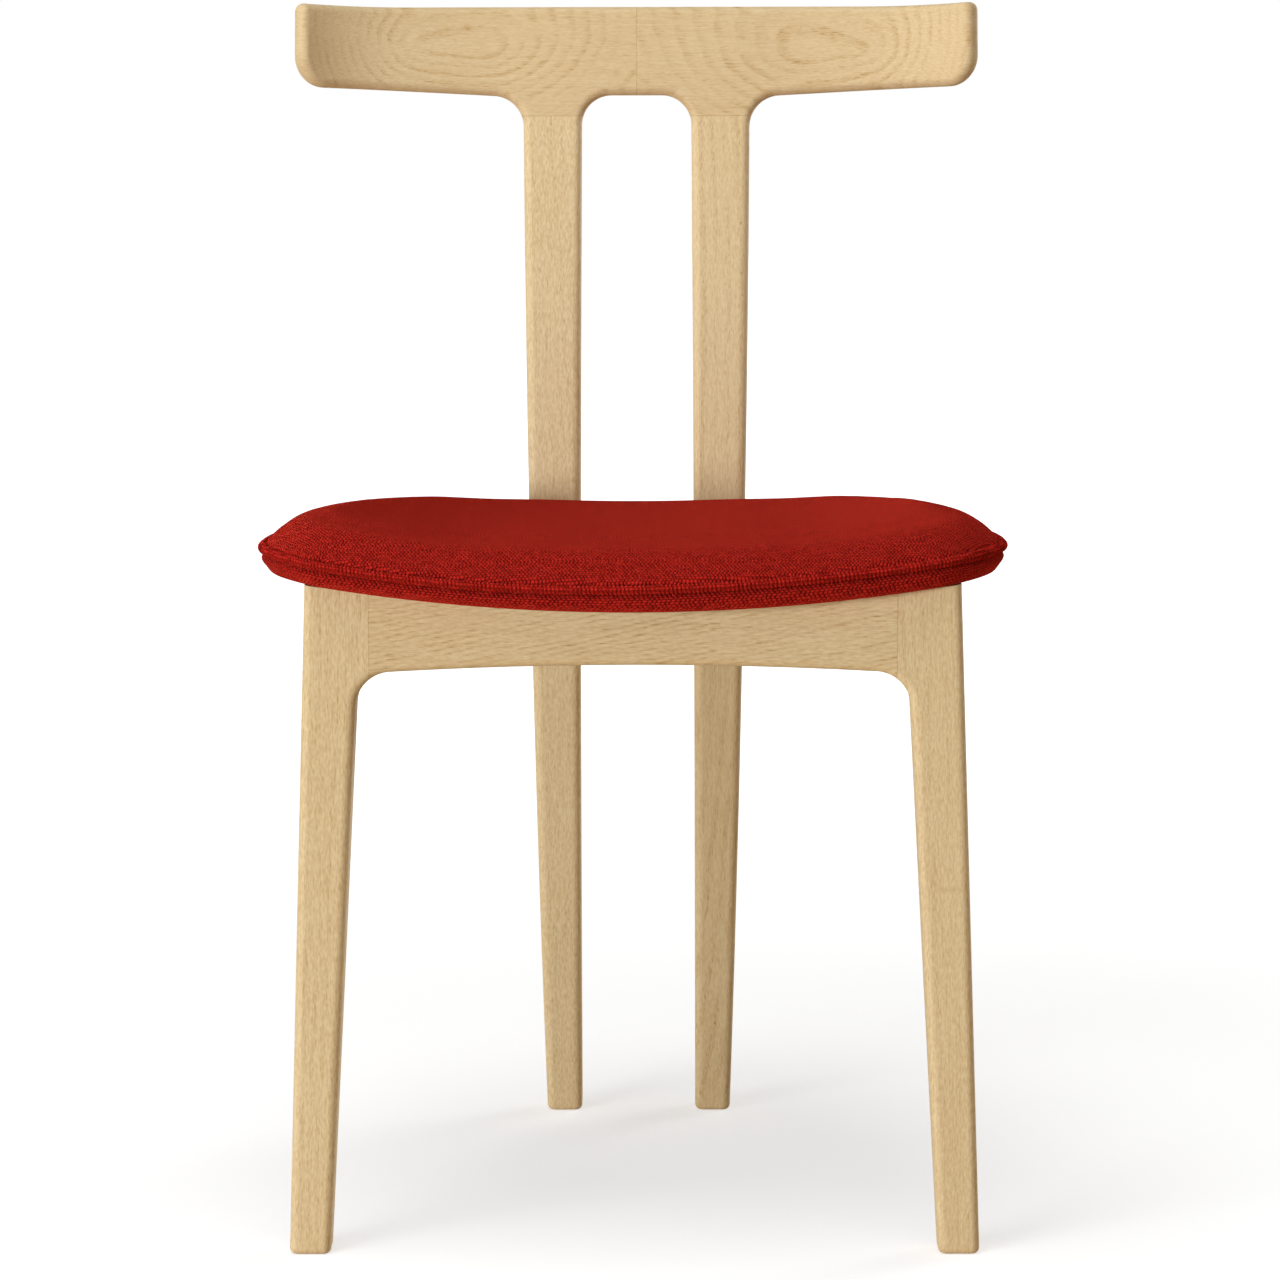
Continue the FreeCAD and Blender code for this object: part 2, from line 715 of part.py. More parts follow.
def make_staple(x, y, tangent):
    """Wire staple under the dust cover, with its legs in the shell."""
    top = seat_under_z(x, y)
    half = staple_width / 2
    crown = Part.makeBox(staple_width, staple_wire, staple_wire, Vec(-half, -staple_wire / 2, -staple_wire))
    shape = crown
    for start in (-half, half - staple_wire):
        leg = Part.makeBox(staple_wire, staple_wire, staple_leg, Vec(start, -staple_wire / 2, 0))
        shape = shape.fuse(leg)
    shape = shape.removeSplitter()
    shape.rotate(Vec(0, 0, 0), Vec(0, 0, 1), math.degrees(tangent))
    shape.translate(Vec(x, y, top))
    return shape


def make_staples():
    """Staples along the free stretches of the dust cover's edge."""
    scale = inset_scale(staple_inset)
    middle = seat_middle_y
    front_y = middle + (SEAT_ARCS[0][1][1] - middle) * scale
    rear_y = middle + (SEAT_ARCS[4][1][1] - middle) * scale
    rear_x = side_rail_inner_x(rear_y - staple_wire) + side_rail_thickness * side_rail_slant()
    places = [(span, front_y, 0.0) for span in staple_front_spans]
    places.append((rear_x + staple_rail_gap + staple_width / 2, rear_y, 0.0))
    places += [(x * scale, middle + (y - middle) * scale, math.pi / 2) for x, y in SEAT_ARCS[2]]
    return both_sides([make_staple(*place) for place in places])


def make_fixing(x, y, block_low):
    """Seat bolt with its washer and tee nut, and the holes for them."""
    shell_top = seat_under_z(x, y) + seat_under - shell_top_drop
    nut_top = shell_top - tee_nut_sink
    head_low = block_low - washer_thickness - bolt_head_height
    up = Vec(0, 0, 1)
    bolt = rod(Vec(x, y, head_low), up, bolt_head_radius, bolt_head_height)
    bolt = bolt.fuse(rod(Vec(x, y, head_low), up, bolt_radius, nut_top - head_low)).removeSplitter()
    washer = rod(Vec(x, y, block_low - washer_thickness), up, washer_radius, washer_thickness)
    washer = washer.cut(rod(Vec(x, y, 0), up, bolt_radius + bolt_clearance / 2, FAR))
    barrel = nut_top - (shell_top - shell_thickness)
    nut = rod(Vec(x, y, nut_top - barrel), up, tee_nut_radius, barrel)
    nut = nut.fuse(rod(Vec(x, y, nut_top - tee_nut_flange), up, tee_nut_flange_radius, tee_nut_flange))
    nut = nut.removeSplitter().cut(rod(Vec(x, y, 0), up, bolt_radius, FAR))
    clearance = rod(Vec(x, y, 0), up, bolt_radius + bolt_clearance, FAR)
    seat_hole = rod(Vec(x, y, 0), up, tee_nut_radius, nut_top)
    pocket = rod(Vec(x, y, nut_top - tee_nut_flange), up, tee_nut_flange_radius, seat_crown)
    return bolt, washer, nut, clearance, seat_hole.fuse(pocket)


def frame_dowels(side_low, rear_low):
    """Dowels of the right side by node, each as (pins, holes)."""
    front, rear = side_rail_line()
    way = Vec(rear[0] - front[0], rear[1] - front[1], 0)
    rail_level = front_rail_end_height + front_rail_arch + edge_radius + dowel_spacing / 2 + dowel_radius
    side_level = side_low + side_rail_drop / 2
    side_rear_level = (side_low + seat_under_z(*rear)) / 2
    rear_level = rear_low + rail_edge_radius + dowel_radius + rear_dowel_spacing / 2
    return {
        "front_rail_dowels": dowel_pair(
            at(front_rail_half, front_rail_thickness / 2, rail_level), Vec(1, 0, 0),
            dowel_length / 2, dowel_spacing),
        "side_rail_front_dowels": dowel_pair(
            Vec(front[0], front[1], side_level), way, short_dowel_bite, dowel_spacing),
        "side_rail_rear_dowels": dowel_pair(
            Vec(rear[0], rear[1], side_rear_level), way,
            dowel_length - short_dowel_bite, rear_dowel_spacing),
        "rear_rail_dowels": dowel_pair(
            at(post_foot_half_gap, rear_rail_back + rear_rail_thickness / 2, rear_level), Vec(1, 0, 0),
            dowel_length / 2, rear_dowel_spacing),
    }


def frame_tenons():
    """Tenon and mortise of the right post joint, and of the top rail's middle seam."""
    middle_back = post_head_back + post_head_depth / 2
    post_middle = at(post_head_half_gap + post_head_width / 2, middle_back, post_joint_height)
    rail_z = (top_rail_under + top_rail_height) / 2
    rail_middle = at(0, middle_back + rail_lean * (rail_z - post_joint_height), rail_z)
    up, right = Vec(0, 0, 1), Vec(1, 0, 0)
    return make_tenon(post_middle, up, right), make_tenon(rail_middle, right, up)


def block_screws(block_low, rear_block_low):
    """Screws of the right corner block into the front and side rails, and of the rear block."""
    front, rear = side_rail_line()
    level = block_low + block_drop / 2
    spot = along(front, rear, side_screw_run, -side_rail_thickness / 2)
    outward = Vec(rear[1] - front[1], front[0] - rear[0], 0).normalize()
    side_tip = Vec(spot[0], spot[1], level - screw_stagger / 2) + outward * screw_bite
    front_tip = at(front_rail_half - front_screw_inset, front_rail_thickness - screw_bite,
                   level + screw_stagger / 2)
    rear_tip = at(rear_screw_half_span, rear_rail_back + screw_bite, rear_block_low + block_drop / 2)
    return [make_screw(front_tip, Vec(0, -1, 0)), make_screw(side_tip, outward),
            make_screw(rear_tip, Vec(0, 1, 0))]


def build():
    ceiling = tilted(above_dish(-seat_under)).toNurbs()
    front_board = front_profile()
    back_board = back_profile()
    leg = make_front_leg(front_board).cut(ceiling)
    front_rail = make_front_rail(front_board).cut(ceiling)
    post = make_post(back_board)
    top_rail = make_top_rail(back_board)
    side_rail, side_low = make_side_rail(leg, post, ceiling)
    rear_rail, rear_low = make_rear_rail([post, mirrored(post)])
    block_low = side_low + side_rail_drop - block_drop
    rear_block_low = seat_under_z(0, y_at(post_nearest_back)) - block_drop
    front_block = make_front_block(side_rail, front_rail, leg, ceiling, block_low)
    rear_block = make_rear_block(ceiling, rear_block_low)

    dowels = frame_dowels(side_low, rear_low)
    holes = {name: pair[1] for name, pair in dowels.items()}
    (post_tenon, post_mortise), (rail_tenon, rail_mortise) = frame_tenons()
    front_screw, side_screw, rear_screw = block_screws(block_low, rear_block_low)
    rear_bolt_y = y_at(post_nearest_back - rear_block_depth + rear_bolt_inset)
    front_fixing = make_fixing(front_rail_half - front_bolt_inset, y_at(front_bolt_back), block_low)
    rear_fixing = make_fixing(rear_bolt_half_span, rear_bolt_y, rear_block_low)
    fixings = (front_fixing, rear_fixing)

    leg = cut_all(leg, holes["front_rail_dowels"] + holes["side_rail_front_dowels"])
    side_rail = cut_all(side_rail, holes["side_rail_front_dowels"] + holes["side_rail_rear_dowels"]
                        + [side_screw[0]])
    post = cut_all(post, holes["side_rail_rear_dowels"] + holes["rear_rail_dowels"] + [post_mortise])
    top_rail = cut_all(top_rail, [post_mortise, rail_mortise])
    front_rail = cut_all(front_rail, both_sides(holes["front_rail_dowels"] + [front_screw[0]]))
    rear_rail = cut_all(rear_rail, both_sides(holes["rear_rail_dowels"] + [rear_screw[0]]))
    front_block = cut_all(front_block, [front_screw[1], side_screw[1], front_fixing[3]])
    rear_block = cut_all(rear_block, both_sides([rear_screw[1], rear_fixing[3]]))

    seat = make_seat()
    staples = make_staples()
    seat_holes = both_sides([fixing[4] for fixing in fixings])
    for name in ("shell", "dust"):
        seat[name] = cut_all(cut_all(seat[name], seat_holes), staples)

    nodes = {
        "front_leg_right": [leg],
        "front_leg_left": [mirrored(leg)],
        "front_rail": [front_rail],
        "side_rail_right": [side_rail],
        "side_rail_left": [mirrored(side_rail)],
        "rear_rail": [rear_rail],
        "back_post_right": [post],
        "back_post_left": [mirrored(post)],
        "top_rail_right": [top_rail],
        "top_rail_left": [mirrored(top_rail)],
        "top_rail_tenon": [rail_tenon],
        "post_tenons": both_sides([post_tenon]),
        "corner_block_right": [front_block],
        "corner_block_left": [mirrored(front_block)],
        "rear_block": [rear_block],
        "block_screws": both_sides([front_screw[0], side_screw[0], rear_screw[0]]),
        "seat_shell": [seat["shell"]],
        "seat_foam": [seat["foam"]],
        "seat_cover": [seat["cover"]],
        "seat_welt": [seat["welt"]],
        "seat_band": [seat["band"]],
        "dust_cover": [seat["dust"]],
        "dust_cover_staples": staples,
        "seat_bolts": both_sides([fixing[0] for fixing in fixings]),
        "seat_bolt_washers": both_sides([fixing[1] for fixing in fixings]),
        "seat_tee_nuts": both_sides([fixing[2] for fixing in fixings]),
    }
    nodes.update({name: both_sides(pair[0]) for name, pair in dowels.items()})
    return nodes


def main():
    os.makedirs("parts", exist_ok=True)
    for name, shapes in build().items():
        solids = [solid for shape in shapes for solid in shape.Solids]
        whole = solids[0] if len(solids) == 1 else Part.makeCompound(solids)
        whole.exportStep(os.path.join("parts", name + ".step"))
        box = whole.optimalBoundingBox()
        sizes = "%.1f x %.1f x %.1f" % (box.XLength, box.YLength, box.ZLength)
        print(name, len(solids), "valid" if whole.isValid() else "NOT VALID", sizes)


if __name__ == "__main__":
    main()
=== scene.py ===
import bpy
import math
import numpy as np
from mathutils import Matrix, Vector


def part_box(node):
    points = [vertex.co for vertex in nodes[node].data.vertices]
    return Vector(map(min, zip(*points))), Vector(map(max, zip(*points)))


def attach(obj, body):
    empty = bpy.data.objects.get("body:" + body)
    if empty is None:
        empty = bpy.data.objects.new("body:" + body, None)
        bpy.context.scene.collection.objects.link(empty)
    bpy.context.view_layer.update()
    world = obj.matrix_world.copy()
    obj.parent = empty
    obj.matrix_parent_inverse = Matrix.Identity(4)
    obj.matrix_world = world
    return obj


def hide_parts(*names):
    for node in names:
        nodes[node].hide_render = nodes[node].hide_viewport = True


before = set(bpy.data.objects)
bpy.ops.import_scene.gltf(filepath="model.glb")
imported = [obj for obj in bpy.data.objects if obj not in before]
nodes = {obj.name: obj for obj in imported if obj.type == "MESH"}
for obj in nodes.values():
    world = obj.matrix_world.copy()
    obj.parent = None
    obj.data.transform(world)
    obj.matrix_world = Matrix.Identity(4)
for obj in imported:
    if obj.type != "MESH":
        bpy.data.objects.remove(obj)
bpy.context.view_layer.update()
BODY = "root"
MM = 0.001

# Camera, in metres and degrees
CAMERA_SIDE = 0.025            # to the right of the chair's middle
CAMERA_HEIGHT = 0.790
CAMERA_AHEAD = 2.9436          # in front of the front legs
CAMERA_PITCH = 7.618           # downwards
CAMERA_YAW = 0.400             # to the left
CAMERA_ROLL = 0.13             # clockwise
PHOTO_WIDTH = 1280
FOCAL_PIXELS = 4733.0
SENSOR = 36.0                  # millimetres

# Seat's outline and dish, in metres and degrees
FRONT_RADIUS = 0.760
FRONT_ANGLE = 14.0             # half turn of the front curve
SIDE_TURN = 28.0               # turn of a side up to the rear corner
REAR_RADIUS = 0.070
DISH_RADIUS = 1.450
SEAT_TILT = 1.0                # backwards
ARC_STEPS = 400                # points on each arc of the outline
RIM_STEPS = 2400               # evenly spaced points round the whole outline
INSET_STEP = 8                 # every so many of them serve to find the distance from the edge
FLAT_STEP = 4                  # and every so many to lay the cloth flat
SEAT_SHIFT = -0.0005           # the upholstery sits a little to the left
SEAT_SAG = 0.0013              # and its edge hangs lower on that side
SEAT_SAG_SPAN = 0.27
SEAT_SAG_FADE = (0.010, 0.024)  # distances from the edge between which the sag ends

# Pad, in metres
PAD_INSET = 0.0046             # edge of the pad in from the edge of the welt
PAD_STEP = 0.0012              # edge of the pad above the middle of the welt
PAD_CROWN = 0.0245             # rise of the pad from there
PAD_SHOULDER = 0.0160          # how quickly it rises from the edge
PAD_SHOULDER_POWER = 1.70
PAD_GROOVE = 0.0022            # how much less it rises under the legs of a sitter
PAD_GROOVE_SIDE = 0.12         # middle of each of these hollows from the chair's middle
PAD_GROOVE_SPREAD = 0.04
PAD_UNDER = 0.0085             # underside below the middle of the welt
PAD_POINTS = 200               # points on each ring of the start shape
PAD_RINGS = 26                 # rings of its top, and of its underside
PAD_SMALLEST = 0.04            # size of the innermost ring
PAD_FLAT_REACH = 0.06          # distance from the edge up to which the cloth's slope counts
PAD_FLAT_STEPS = 241

# Cloth simulation of the pad, in metres
VOXEL = 0.005
SLACK = 0.004                  # how far the pad starts below its full shape
SLACK_FADE = (0.004, 0.05)     # distances from the edge over which the slack grows
TOP_FADE = (-0.002, 0.004)     # heights over the welt's surface over which the top begins
FREE_FADE = (0.004, 0.016)     # distances from the edge over which the cloth comes free
PRESSURE = 4.0
FRAMES = 20
CLOTH_QUALITY = 5
CLOTH_MASS = 0.3
CLOTH_STIFFNESS = 15.0
CLOTH_BENDING = 0.5
LARGEST_MOVE = 0.0055
DRIFT = 0.0012                 # how far the cloth may settle from the full shape

# Welt, band and dust cloth, in metres
CAD_WELT_RADIUS = 0.0032
WELT_RADIUS = 0.0030
WELT_RIB_PITCH = 0.0027
WELT_RIB_HEIGHT = 0.0004
WELT_SIDES = 14                # points round the cord
BAND_SECTION = (               # outside: in from the edge, below the middle of the welt
    (0.0056, 0.0022), (0.0036, 0.0042), (0.0024, 0.0060), (0.0022, 0.0080), (0.0030, 0.0104),
    (0.0048, 0.0126), (0.0078, 0.0143), (0.0120, 0.0149), (0.0200, 0.0151), (0.0285, 0.0151))
BAND_POINTS = 30               # points on each face of the section
BAND_STEP = 4                  # rim points for each point round the band
BAND_THICKNESS = 0.0009
BAND_LIFT = 0.17               # share of its depth that the band lacks at the sides
BAND_LIFT_SPAN = (0.19, 0.235)  # distances from the chair's middle over which that grows
BAND_LIFT_FADE = (0.0040, 0.0085)  # distances from the edge between which it ends
BAND_SAG_FADE = (0.0085, 0.0130)  # depths between which the band stops following the sag
SEAT_UNDER = 0.0152            # underside of the seat below the middle of the welt
HEM_INSET = 0.0295
DUST_CLOTH_THICKNESS = 0.0008
DUST_POINTS = 160              # points on each ring of the dust cloth
DUST_RINGS = 23

welt_low, welt_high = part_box("seat_welt")
leg_low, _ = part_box("front_leg_right")
half_width = welt_high.x
seat_front = welt_low.y
seat_depth = welt_high.y - welt_low.y
seat_middle = np.array([0.0, seat_front + seat_depth / 2])
seat_slope = math.tan(math.radians(SEAT_TILT))
welt_front_z = welt_low.z + CAD_WELT_RADIUS + seat_depth * seat_slope


# Seat outline and surfaces

def arc_point(start, heading, radius, turn):
    """Plan point on an arc that leaves a start point in a heading and has turned left so far."""
    now = heading + turn
    x = start[0] + radius * (math.sin(now) - math.sin(heading))
    y = start[1] + radius * (math.cos(heading) - math.cos(now))
    return x, y


def right_outline():
    """Right half of the seat's plan outline, from the front to the rear, as x and y."""
    front = math.radians(FRONT_ANGLE)
    side = math.radians(SIDE_TURN)
    front_half = FRONT_RADIUS * math.sin(front)
    corner_radius = (half_width - front_half) / (1 - math.sin(front))
    used = FRONT_RADIUS * (1 - math.cos(front)) + corner_radius * math.cos(front)
    used += REAR_RADIUS * (1 - math.sin(side))
    side_radius = (seat_depth - used) / math.sin(side)
    square = math.pi / 2
    turns = ((FRONT_RADIUS, front), (corner_radius, square - front),
             (side_radius, side), (REAR_RADIUS, square - side))
    place, heading, points = (0.0, seat_front), 0.0, []
    for radius, turn in turns:
        points += [arc_point(place, heading, radius, turn * step / ARC_STEPS)
                   for step in range(ARC_STEPS)]
        place = arc_point(place, heading, radius, turn)
        heading += turn
    points.append(place)
    points.append((0.0, place[1]))
    return np.array(points)


def evenly(points, count, endpoint):
    """Evenly spaced points along a line of plan or section points, and the line's length."""
    steps = np.linalg.norm(np.diff(points, axis=0), axis=1)
    lengths = np.concatenate([[0], np.cumsum(steps)])
    wanted = np.linspace(0, lengths[-1], count, endpoint=endpoint)
    spaced = [np.interp(wanted, lengths, points[:, axis]) for axis in (0, 1)]
    return np.stack(spaced, axis=1), lengths[-1]


def even_rim(count):
    """Evenly spaced points round the whole outline, their outward normals and its length."""
    right = right_outline()
    left = right[-2:0:-1] * (-1, 1)
    points, length = evenly(np.vstack([right, left, right[:1]]), count, False)
    along = np.roll(points, -1, axis=0) - np.roll(points, 1, axis=0)
    along /= np.linalg.norm(along, axis=1, keepdims=True)
    return points, np.stack([along[:, 1], -along[:, 0]], axis=1), length


RIM, RIM_OUT, RIM_LENGTH = even_rim(RIM_STEPS)


def smooth(low, high, value):
    """0 below low, 1 above high, smooth in between."""
    share = np.clip((value - low) / (high - low), 0.0, 1.0)
    return share * share * (3 - 2 * share)


def inner_rim(count, inset):
    """Points of the outline, so far in from the edge of the welt."""
    every = RIM_STEPS // count
    return RIM[::every] - RIM_OUT[::every] * inset


def scaled_ring(edge, scale):
    """Plan ring that is an edge drawn towards the seat's middle."""
    return seat_middle + (edge - seat_middle) * scale


def nearest_rim(points, every):
    """Index of the nearest rim point to each plan point, out of every so many of them."""
    chunk = 2000
    rim = RIM[None, ::every]
    found = [np.argmin(((points[start:start + chunk, None] - rim) ** 2).sum(axis=2), axis=1)
             for start in range(0, len(points), chunk)]
    return np.concatenate(found) * every


def inset_of(points):
    """Distance of plan points from the outline, less than zero outside."""
    nearest = nearest_rim(points, INSET_STEP)
    return -((points - RIM[nearest]) * RIM_OUT[nearest]).sum(axis=1)


def dish_z(points):
    """Height of the welt's dished surface at plan points."""
    x, y = points[:, 0], points[:, 1]
    return welt_front_z + x ** 2 / (2 * DISH_RADIUS) - seat_slope * (y - seat_front)


def sag(points, inset):
    """Uneven hang of the upholstery's edge along the front."""
    x, y = points[:, 0], points[:, 1]
    front = 1.0 - smooth(seat_front, seat_front + seat_depth / 2, y)
    near = 1 - smooth(*SEAT_SAG_FADE, inset)
    return SEAT_SAG * np.sin(math.pi * x / SEAT_SAG_SPAN) * front * near


def pad_rise(inset):
    """Share of the pad's crown that is reached so far in from the edge."""
    return 1.0 - np.exp(-(inset / PAD_SHOULDER) ** PAD_SHOULDER_POWER)


def pad_top(points):
    """Height of the finished pad's top at plan points."""
    inset = np.maximum(inset_of(points), 0.0)
    off_groove = (np.abs(points[:, 0]) - PAD_GROOVE_SIDE) / PAD_GROOVE_SPREAD
    crown = PAD_CROWN - PAD_GROOVE * np.exp(-off_groove ** 2)
    return dish_z(points) + sag(points, inset) + PAD_STEP + crown * pad_rise(inset)


def flat_places(points):
    """Place of each vertex on the pad's cloth as if it were laid flat."""
    plan = points[:, :2]
    insets = np.linspace(0.0, PAD_FLAT_REACH, PAD_FLAT_STEPS)
    extra = np.hypot(np.gradient(PAD_CROWN * pad_rise(insets), insets), 1.0) - 1.0
    spare = np.cumsum(extra[::-1])[::-1] * insets[1]
    outwards = RIM_OUT[nearest_rim(plan, FLAT_STEP)]
    return plan + outwards * np.interp(inset_of(plan), insets, spare)[:, None]


# Meshes

def make_object(name, vertices, faces, material):
    mesh = bpy.data.meshes.new(name)
    mesh.from_pydata([tuple(v) for v in vertices], [], faces)
    mesh.update()
    mesh.shade_smooth()
    made = bpy.data.objects.new(name, mesh)
    bpy.context.scene.collection.objects.link(made)
    mesh.materials.append(material)
    return made


def loop_faces(rings, count, closed):
    """Quads between rings of points; closed also joins the last ring to the first."""
    pairs = [(k, k + 1) for k in range(rings - 1)]
    if closed:
        pairs.append((rings - 1, 0))
    faces = []
    for a, b in pairs:
        for i in range(count):
            j = (i + 1) % count
            faces.append((a * count + i, a * count + j, b * count + j, b * count + i))
    return faces


def set_uv(mesh, coordinates, loop_length=math.inf):
    """UV map from one pair for each vertex; u goes on past the loop where a face closes it."""
    layer = mesh.uv_layers.new(name="weave")
    for polygon in mesh.polygons:
        corners = [coordinates[mesh.loops[i].vertex_index] for i in polygon.loop_indices]
        along = [u for u, _ in corners]
        closes = max(along) - min(along) > loop_length / 2
        for i, (u, v) in zip(polygon.loop_indices, corners):
            if closes and u < loop_length / 2:
                u += loop_length
            layer.data[i].uv = (u, v)


def apply_modifiers(piece):
    """Replace a piece's mesh by what its modifiers make of it."""
    graph = bpy.context.evaluated_depsgraph_get()
    done = bpy.data.meshes.new_from_object(piece.evaluated_get(graph))
    piece.modifiers.clear()
    old, piece.data = piece.data, done
    bpy.data.meshes.remove(old)


def coordinates_of(mesh):
    flat = np.empty(len(mesh.vertices) * 3)
    mesh.vertices.foreach_get("co", flat)
    return flat.reshape(-1, 3)


def make_pad(material):
    """Foam pad and its cover: a slack start shape that the cloth simulation fills out."""
    edge = inner_rim(PAD_POINTS, PAD_INSET)
    top, bottom = [], []
    for scale in np.linspace(1.0, PAD_SMALLEST, PAD_RINGS):
        plan = scaled_ring(edge, scale)
        slack = SLACK * smooth(*SLACK_FADE, inset_of(plan))
        top.append(np.column_stack([plan, pad_top(plan) - slack]))
        bottom.append(np.column_stack([plan, dish_z(plan) - PAD_UNDER]))
    rings = top[::-1] + bottom
    last = (len(rings) - 1) * PAD_POINTS
    faces = loop_faces(len(rings), PAD_POINTS, False)
    faces.append(tuple(range(PAD_POINTS))[::-1])
    faces.append(tuple(range(last, last + PAD_POINTS)))
    pad = make_object("seat_pad", np.vstack(rings), faces, material)
    fill_out(pad)
    set_uv(pad.data, flat_places(coordinates_of(pad.data)))
    for vertex in pad.data.vertices:
        vertex.co.x += SEAT_SHIFT
    pad.data.update()
    return pad


def fill_out(pad):
    """Remesh the pad, blow it up as cloth sewn down at its rim and limit where it settles."""
    remesh = pad.modifiers.new("remesh", "REMESH")
    remesh.mode = "VOXEL"
    remesh.voxel_size = VOXEL
    apply_modifiers(pad)
    start = coordinates_of(pad.data)
    top = smooth(*TOP_FADE, start[:, 2] - dish_z(start[:, :2]))
    free = top * smooth(*FREE_FADE, inset_of(start[:, :2]))
    settled = start
    settled = simulate(pad, free)
    move = settled - start
    length = np.linalg.norm(move, axis=1, keepdims=True)
    move *= np.minimum(1.0, LARGEST_MOVE / np.maximum(length, 1e-9))
    shape = start + move
    full = pad_top(shape[:, :2])
    held = np.clip(shape[:, 2], full - DRIFT * free, full + DRIFT * free)
    shape[:, 2] = np.where(top > 0.5, held, shape[:, 2])
    pad.data.vertices.foreach_set("co", shape.ravel())
    pad.data.update()
    pad.data.shade_smooth()
    finer = pad.modifiers.new("finer", "SUBSURF")
    finer.levels = finer.render_levels = 1
    apply_modifiers(pad)


def simulate(pad, free):
    """Vertex places after the cloth simulation, with the seam and the underside pinned."""
    group = pad.vertex_groups.new(name="sewn")
    for index, share in enumerate(free):
        group.add([index], float(1.0 - share), "REPLACE")
    cloth = pad.modifiers.new("cloth", "CLOTH")
    settings = cloth.settings
    settings.vertex_group_mass = "sewn"
    settings.use_pressure = True
    settings.uniform_pressure_force = PRESSURE
    settings.effector_weights.gravity = 0.0
    settings.quality = CLOTH_QUALITY
    settings.mass = CLOTH_MASS
    settings.tension_stiffness = settings.compression_stiffness = CLOTH_STIFFNESS
    settings.bending_stiffness = CLOTH_BENDING
    scene = bpy.context.scene
    cloth.point_cache.frame_start, cloth.point_cache.frame_end = 1, FRAMES
    for number in range(1, FRAMES + 1):
        scene.frame_set(number)
    graph = bpy.context.evaluated_depsgraph_get()
    settled = coordinates_of(pad.evaluated_get(graph).data)
    pad.modifiers.clear()
    pad.vertex_groups.clear()
    scene.frame_set(1)
    return settled


def make_welt(material):
    """Covered cord round the seat, with the small cross ribs of its bias-cut cloth."""
    turns = round(RIM_LENGTH / WELT_RIB_PITCH)
    step_share = np.arange(RIM_STEPS) / RIM_STEPS
    rings, uv = [], []
    for k in range(WELT_SIDES):
        angle = 2 * math.pi * k / WELT_SIDES
        rib = WELT_RIB_HEIGHT * np.sin(2 * math.pi * turns * step_share + angle)
        radius = WELT_RADIUS + rib
        plan = RIM - RIM_OUT * (CAD_WELT_RADIUS - radius * math.cos(angle))[:, None]
        z = dish_z(RIM) + sag(RIM, 0.0) + radius * math.sin(angle)
        rings.append(np.column_stack([plan[:, 0] + SEAT_SHIFT, plan[:, 1], z]))
        around = k / WELT_SIDES * 2 * math.pi * WELT_RADIUS
        uv += [(share * RIM_LENGTH, around) for share in step_share]
    faces = loop_faces(WELT_SIDES, RIM_STEPS, True)
    welt = make_object("seat_welt_cord", np.vstack(rings), faces, material)
    set_uv(welt.data, uv, RIM_LENGTH)
    return welt


def fine_section(section, count):
    """Evenly spaced points on a rounded line through a section's points, and its length."""
    rounds, near, far = 3, 0.75, 0.25
    points = np.array(section)
    for _ in range(rounds):
        first, second = points[:-1], points[1:]
        cut = np.stack([first * near + second * far, first * far + second * near], axis=1)
        points = np.vstack([points[:1], cut.reshape(-1, 2), points[-1:]])
    return evenly(points, count, True)


def band_ring(inset, drop):
    """Ring of points round the band, in from the edge and below the middle of the welt."""
    plan = RIM[::BAND_STEP] - RIM_OUT[::BAND_STEP] * inset
    side = smooth(*BAND_LIFT_SPAN, np.abs(plan[:, 0]))
    lift = BAND_LIFT * side * (1 - smooth(*BAND_LIFT_FADE, inset))
    hang = sag(plan, inset) * (1 - smooth(*BAND_SAG_FADE, drop))
    z = dish_z(plan) + hang - drop * (1 - lift)
    return np.column_stack([plan[:, 0] + SEAT_SHIFT, plan[:, 1], z])


def make_band(material):
    """Cloth band from under the welt round the edge of the shell to its hem, and its width."""
    outside, width = fine_section(BAND_SECTION, BAND_POINTS)
    along = np.gradient(outside, axis=0)
    along /= np.linalg.norm(along, axis=1, keepdims=True)
    inside = outside + BAND_THICKNESS * np.column_stack([along[:, 1], -along[:, 0]])
    section = np.vstack([outside, inside[::-1]])
    count = RIM_STEPS // BAND_STEP
    rings = np.vstack([band_ring(inset, drop) for inset, drop in section])
    faces = [face[::-1] for face in loop_faces(len(section), count, True)]
    band = make_object("seat_band_cloth", rings, faces, material)
    across = np.linspace(0, width, BAND_POINTS)
    across = np.concatenate([across, across[::-1]])
    uv = [(i / count * RIM_LENGTH, v) for v in across for i in range(count)]
    set_uv(band.data, uv, RIM_LENGTH)
    return band, width


def make_dust_cloth(material):
    """Thin cloth stapled under the shell, inside the hem of the band."""
    count = DUST_POINTS
    edge = inner_rim(count, HEM_INSET)
    scales = np.linspace(1.0, 0.0, DUST_RINGS + 1)[:-1]
    low = SEAT_UNDER - DUST_CLOTH_THICKNESS / 4
    rings = []
    for drop, order in ((low, 1), (low - DUST_CLOTH_THICKNESS, -1)):
        for scale in scales[::order]:
            plan = scaled_ring(edge, scale)
            rings.append(np.column_stack([plan, dish_z(plan) - drop]))
    inner = DUST_RINGS - 1
    last = (len(rings) - 1) * count
    faces = [face for face in loop_faces(len(rings), count, False) if face[0] // count != inner]
    faces += [tuple(inner * count + i for i in range(count)),
              tuple((inner + 1) * count + i for i in reversed(range(count)))]
    faces += [(last + i, last + (i + 1) % count, (i + 1) % count, i) for i in range(count)]
    return make_object("dust_cloth", np.vstack(rings), faces, material)


# Shader nodes

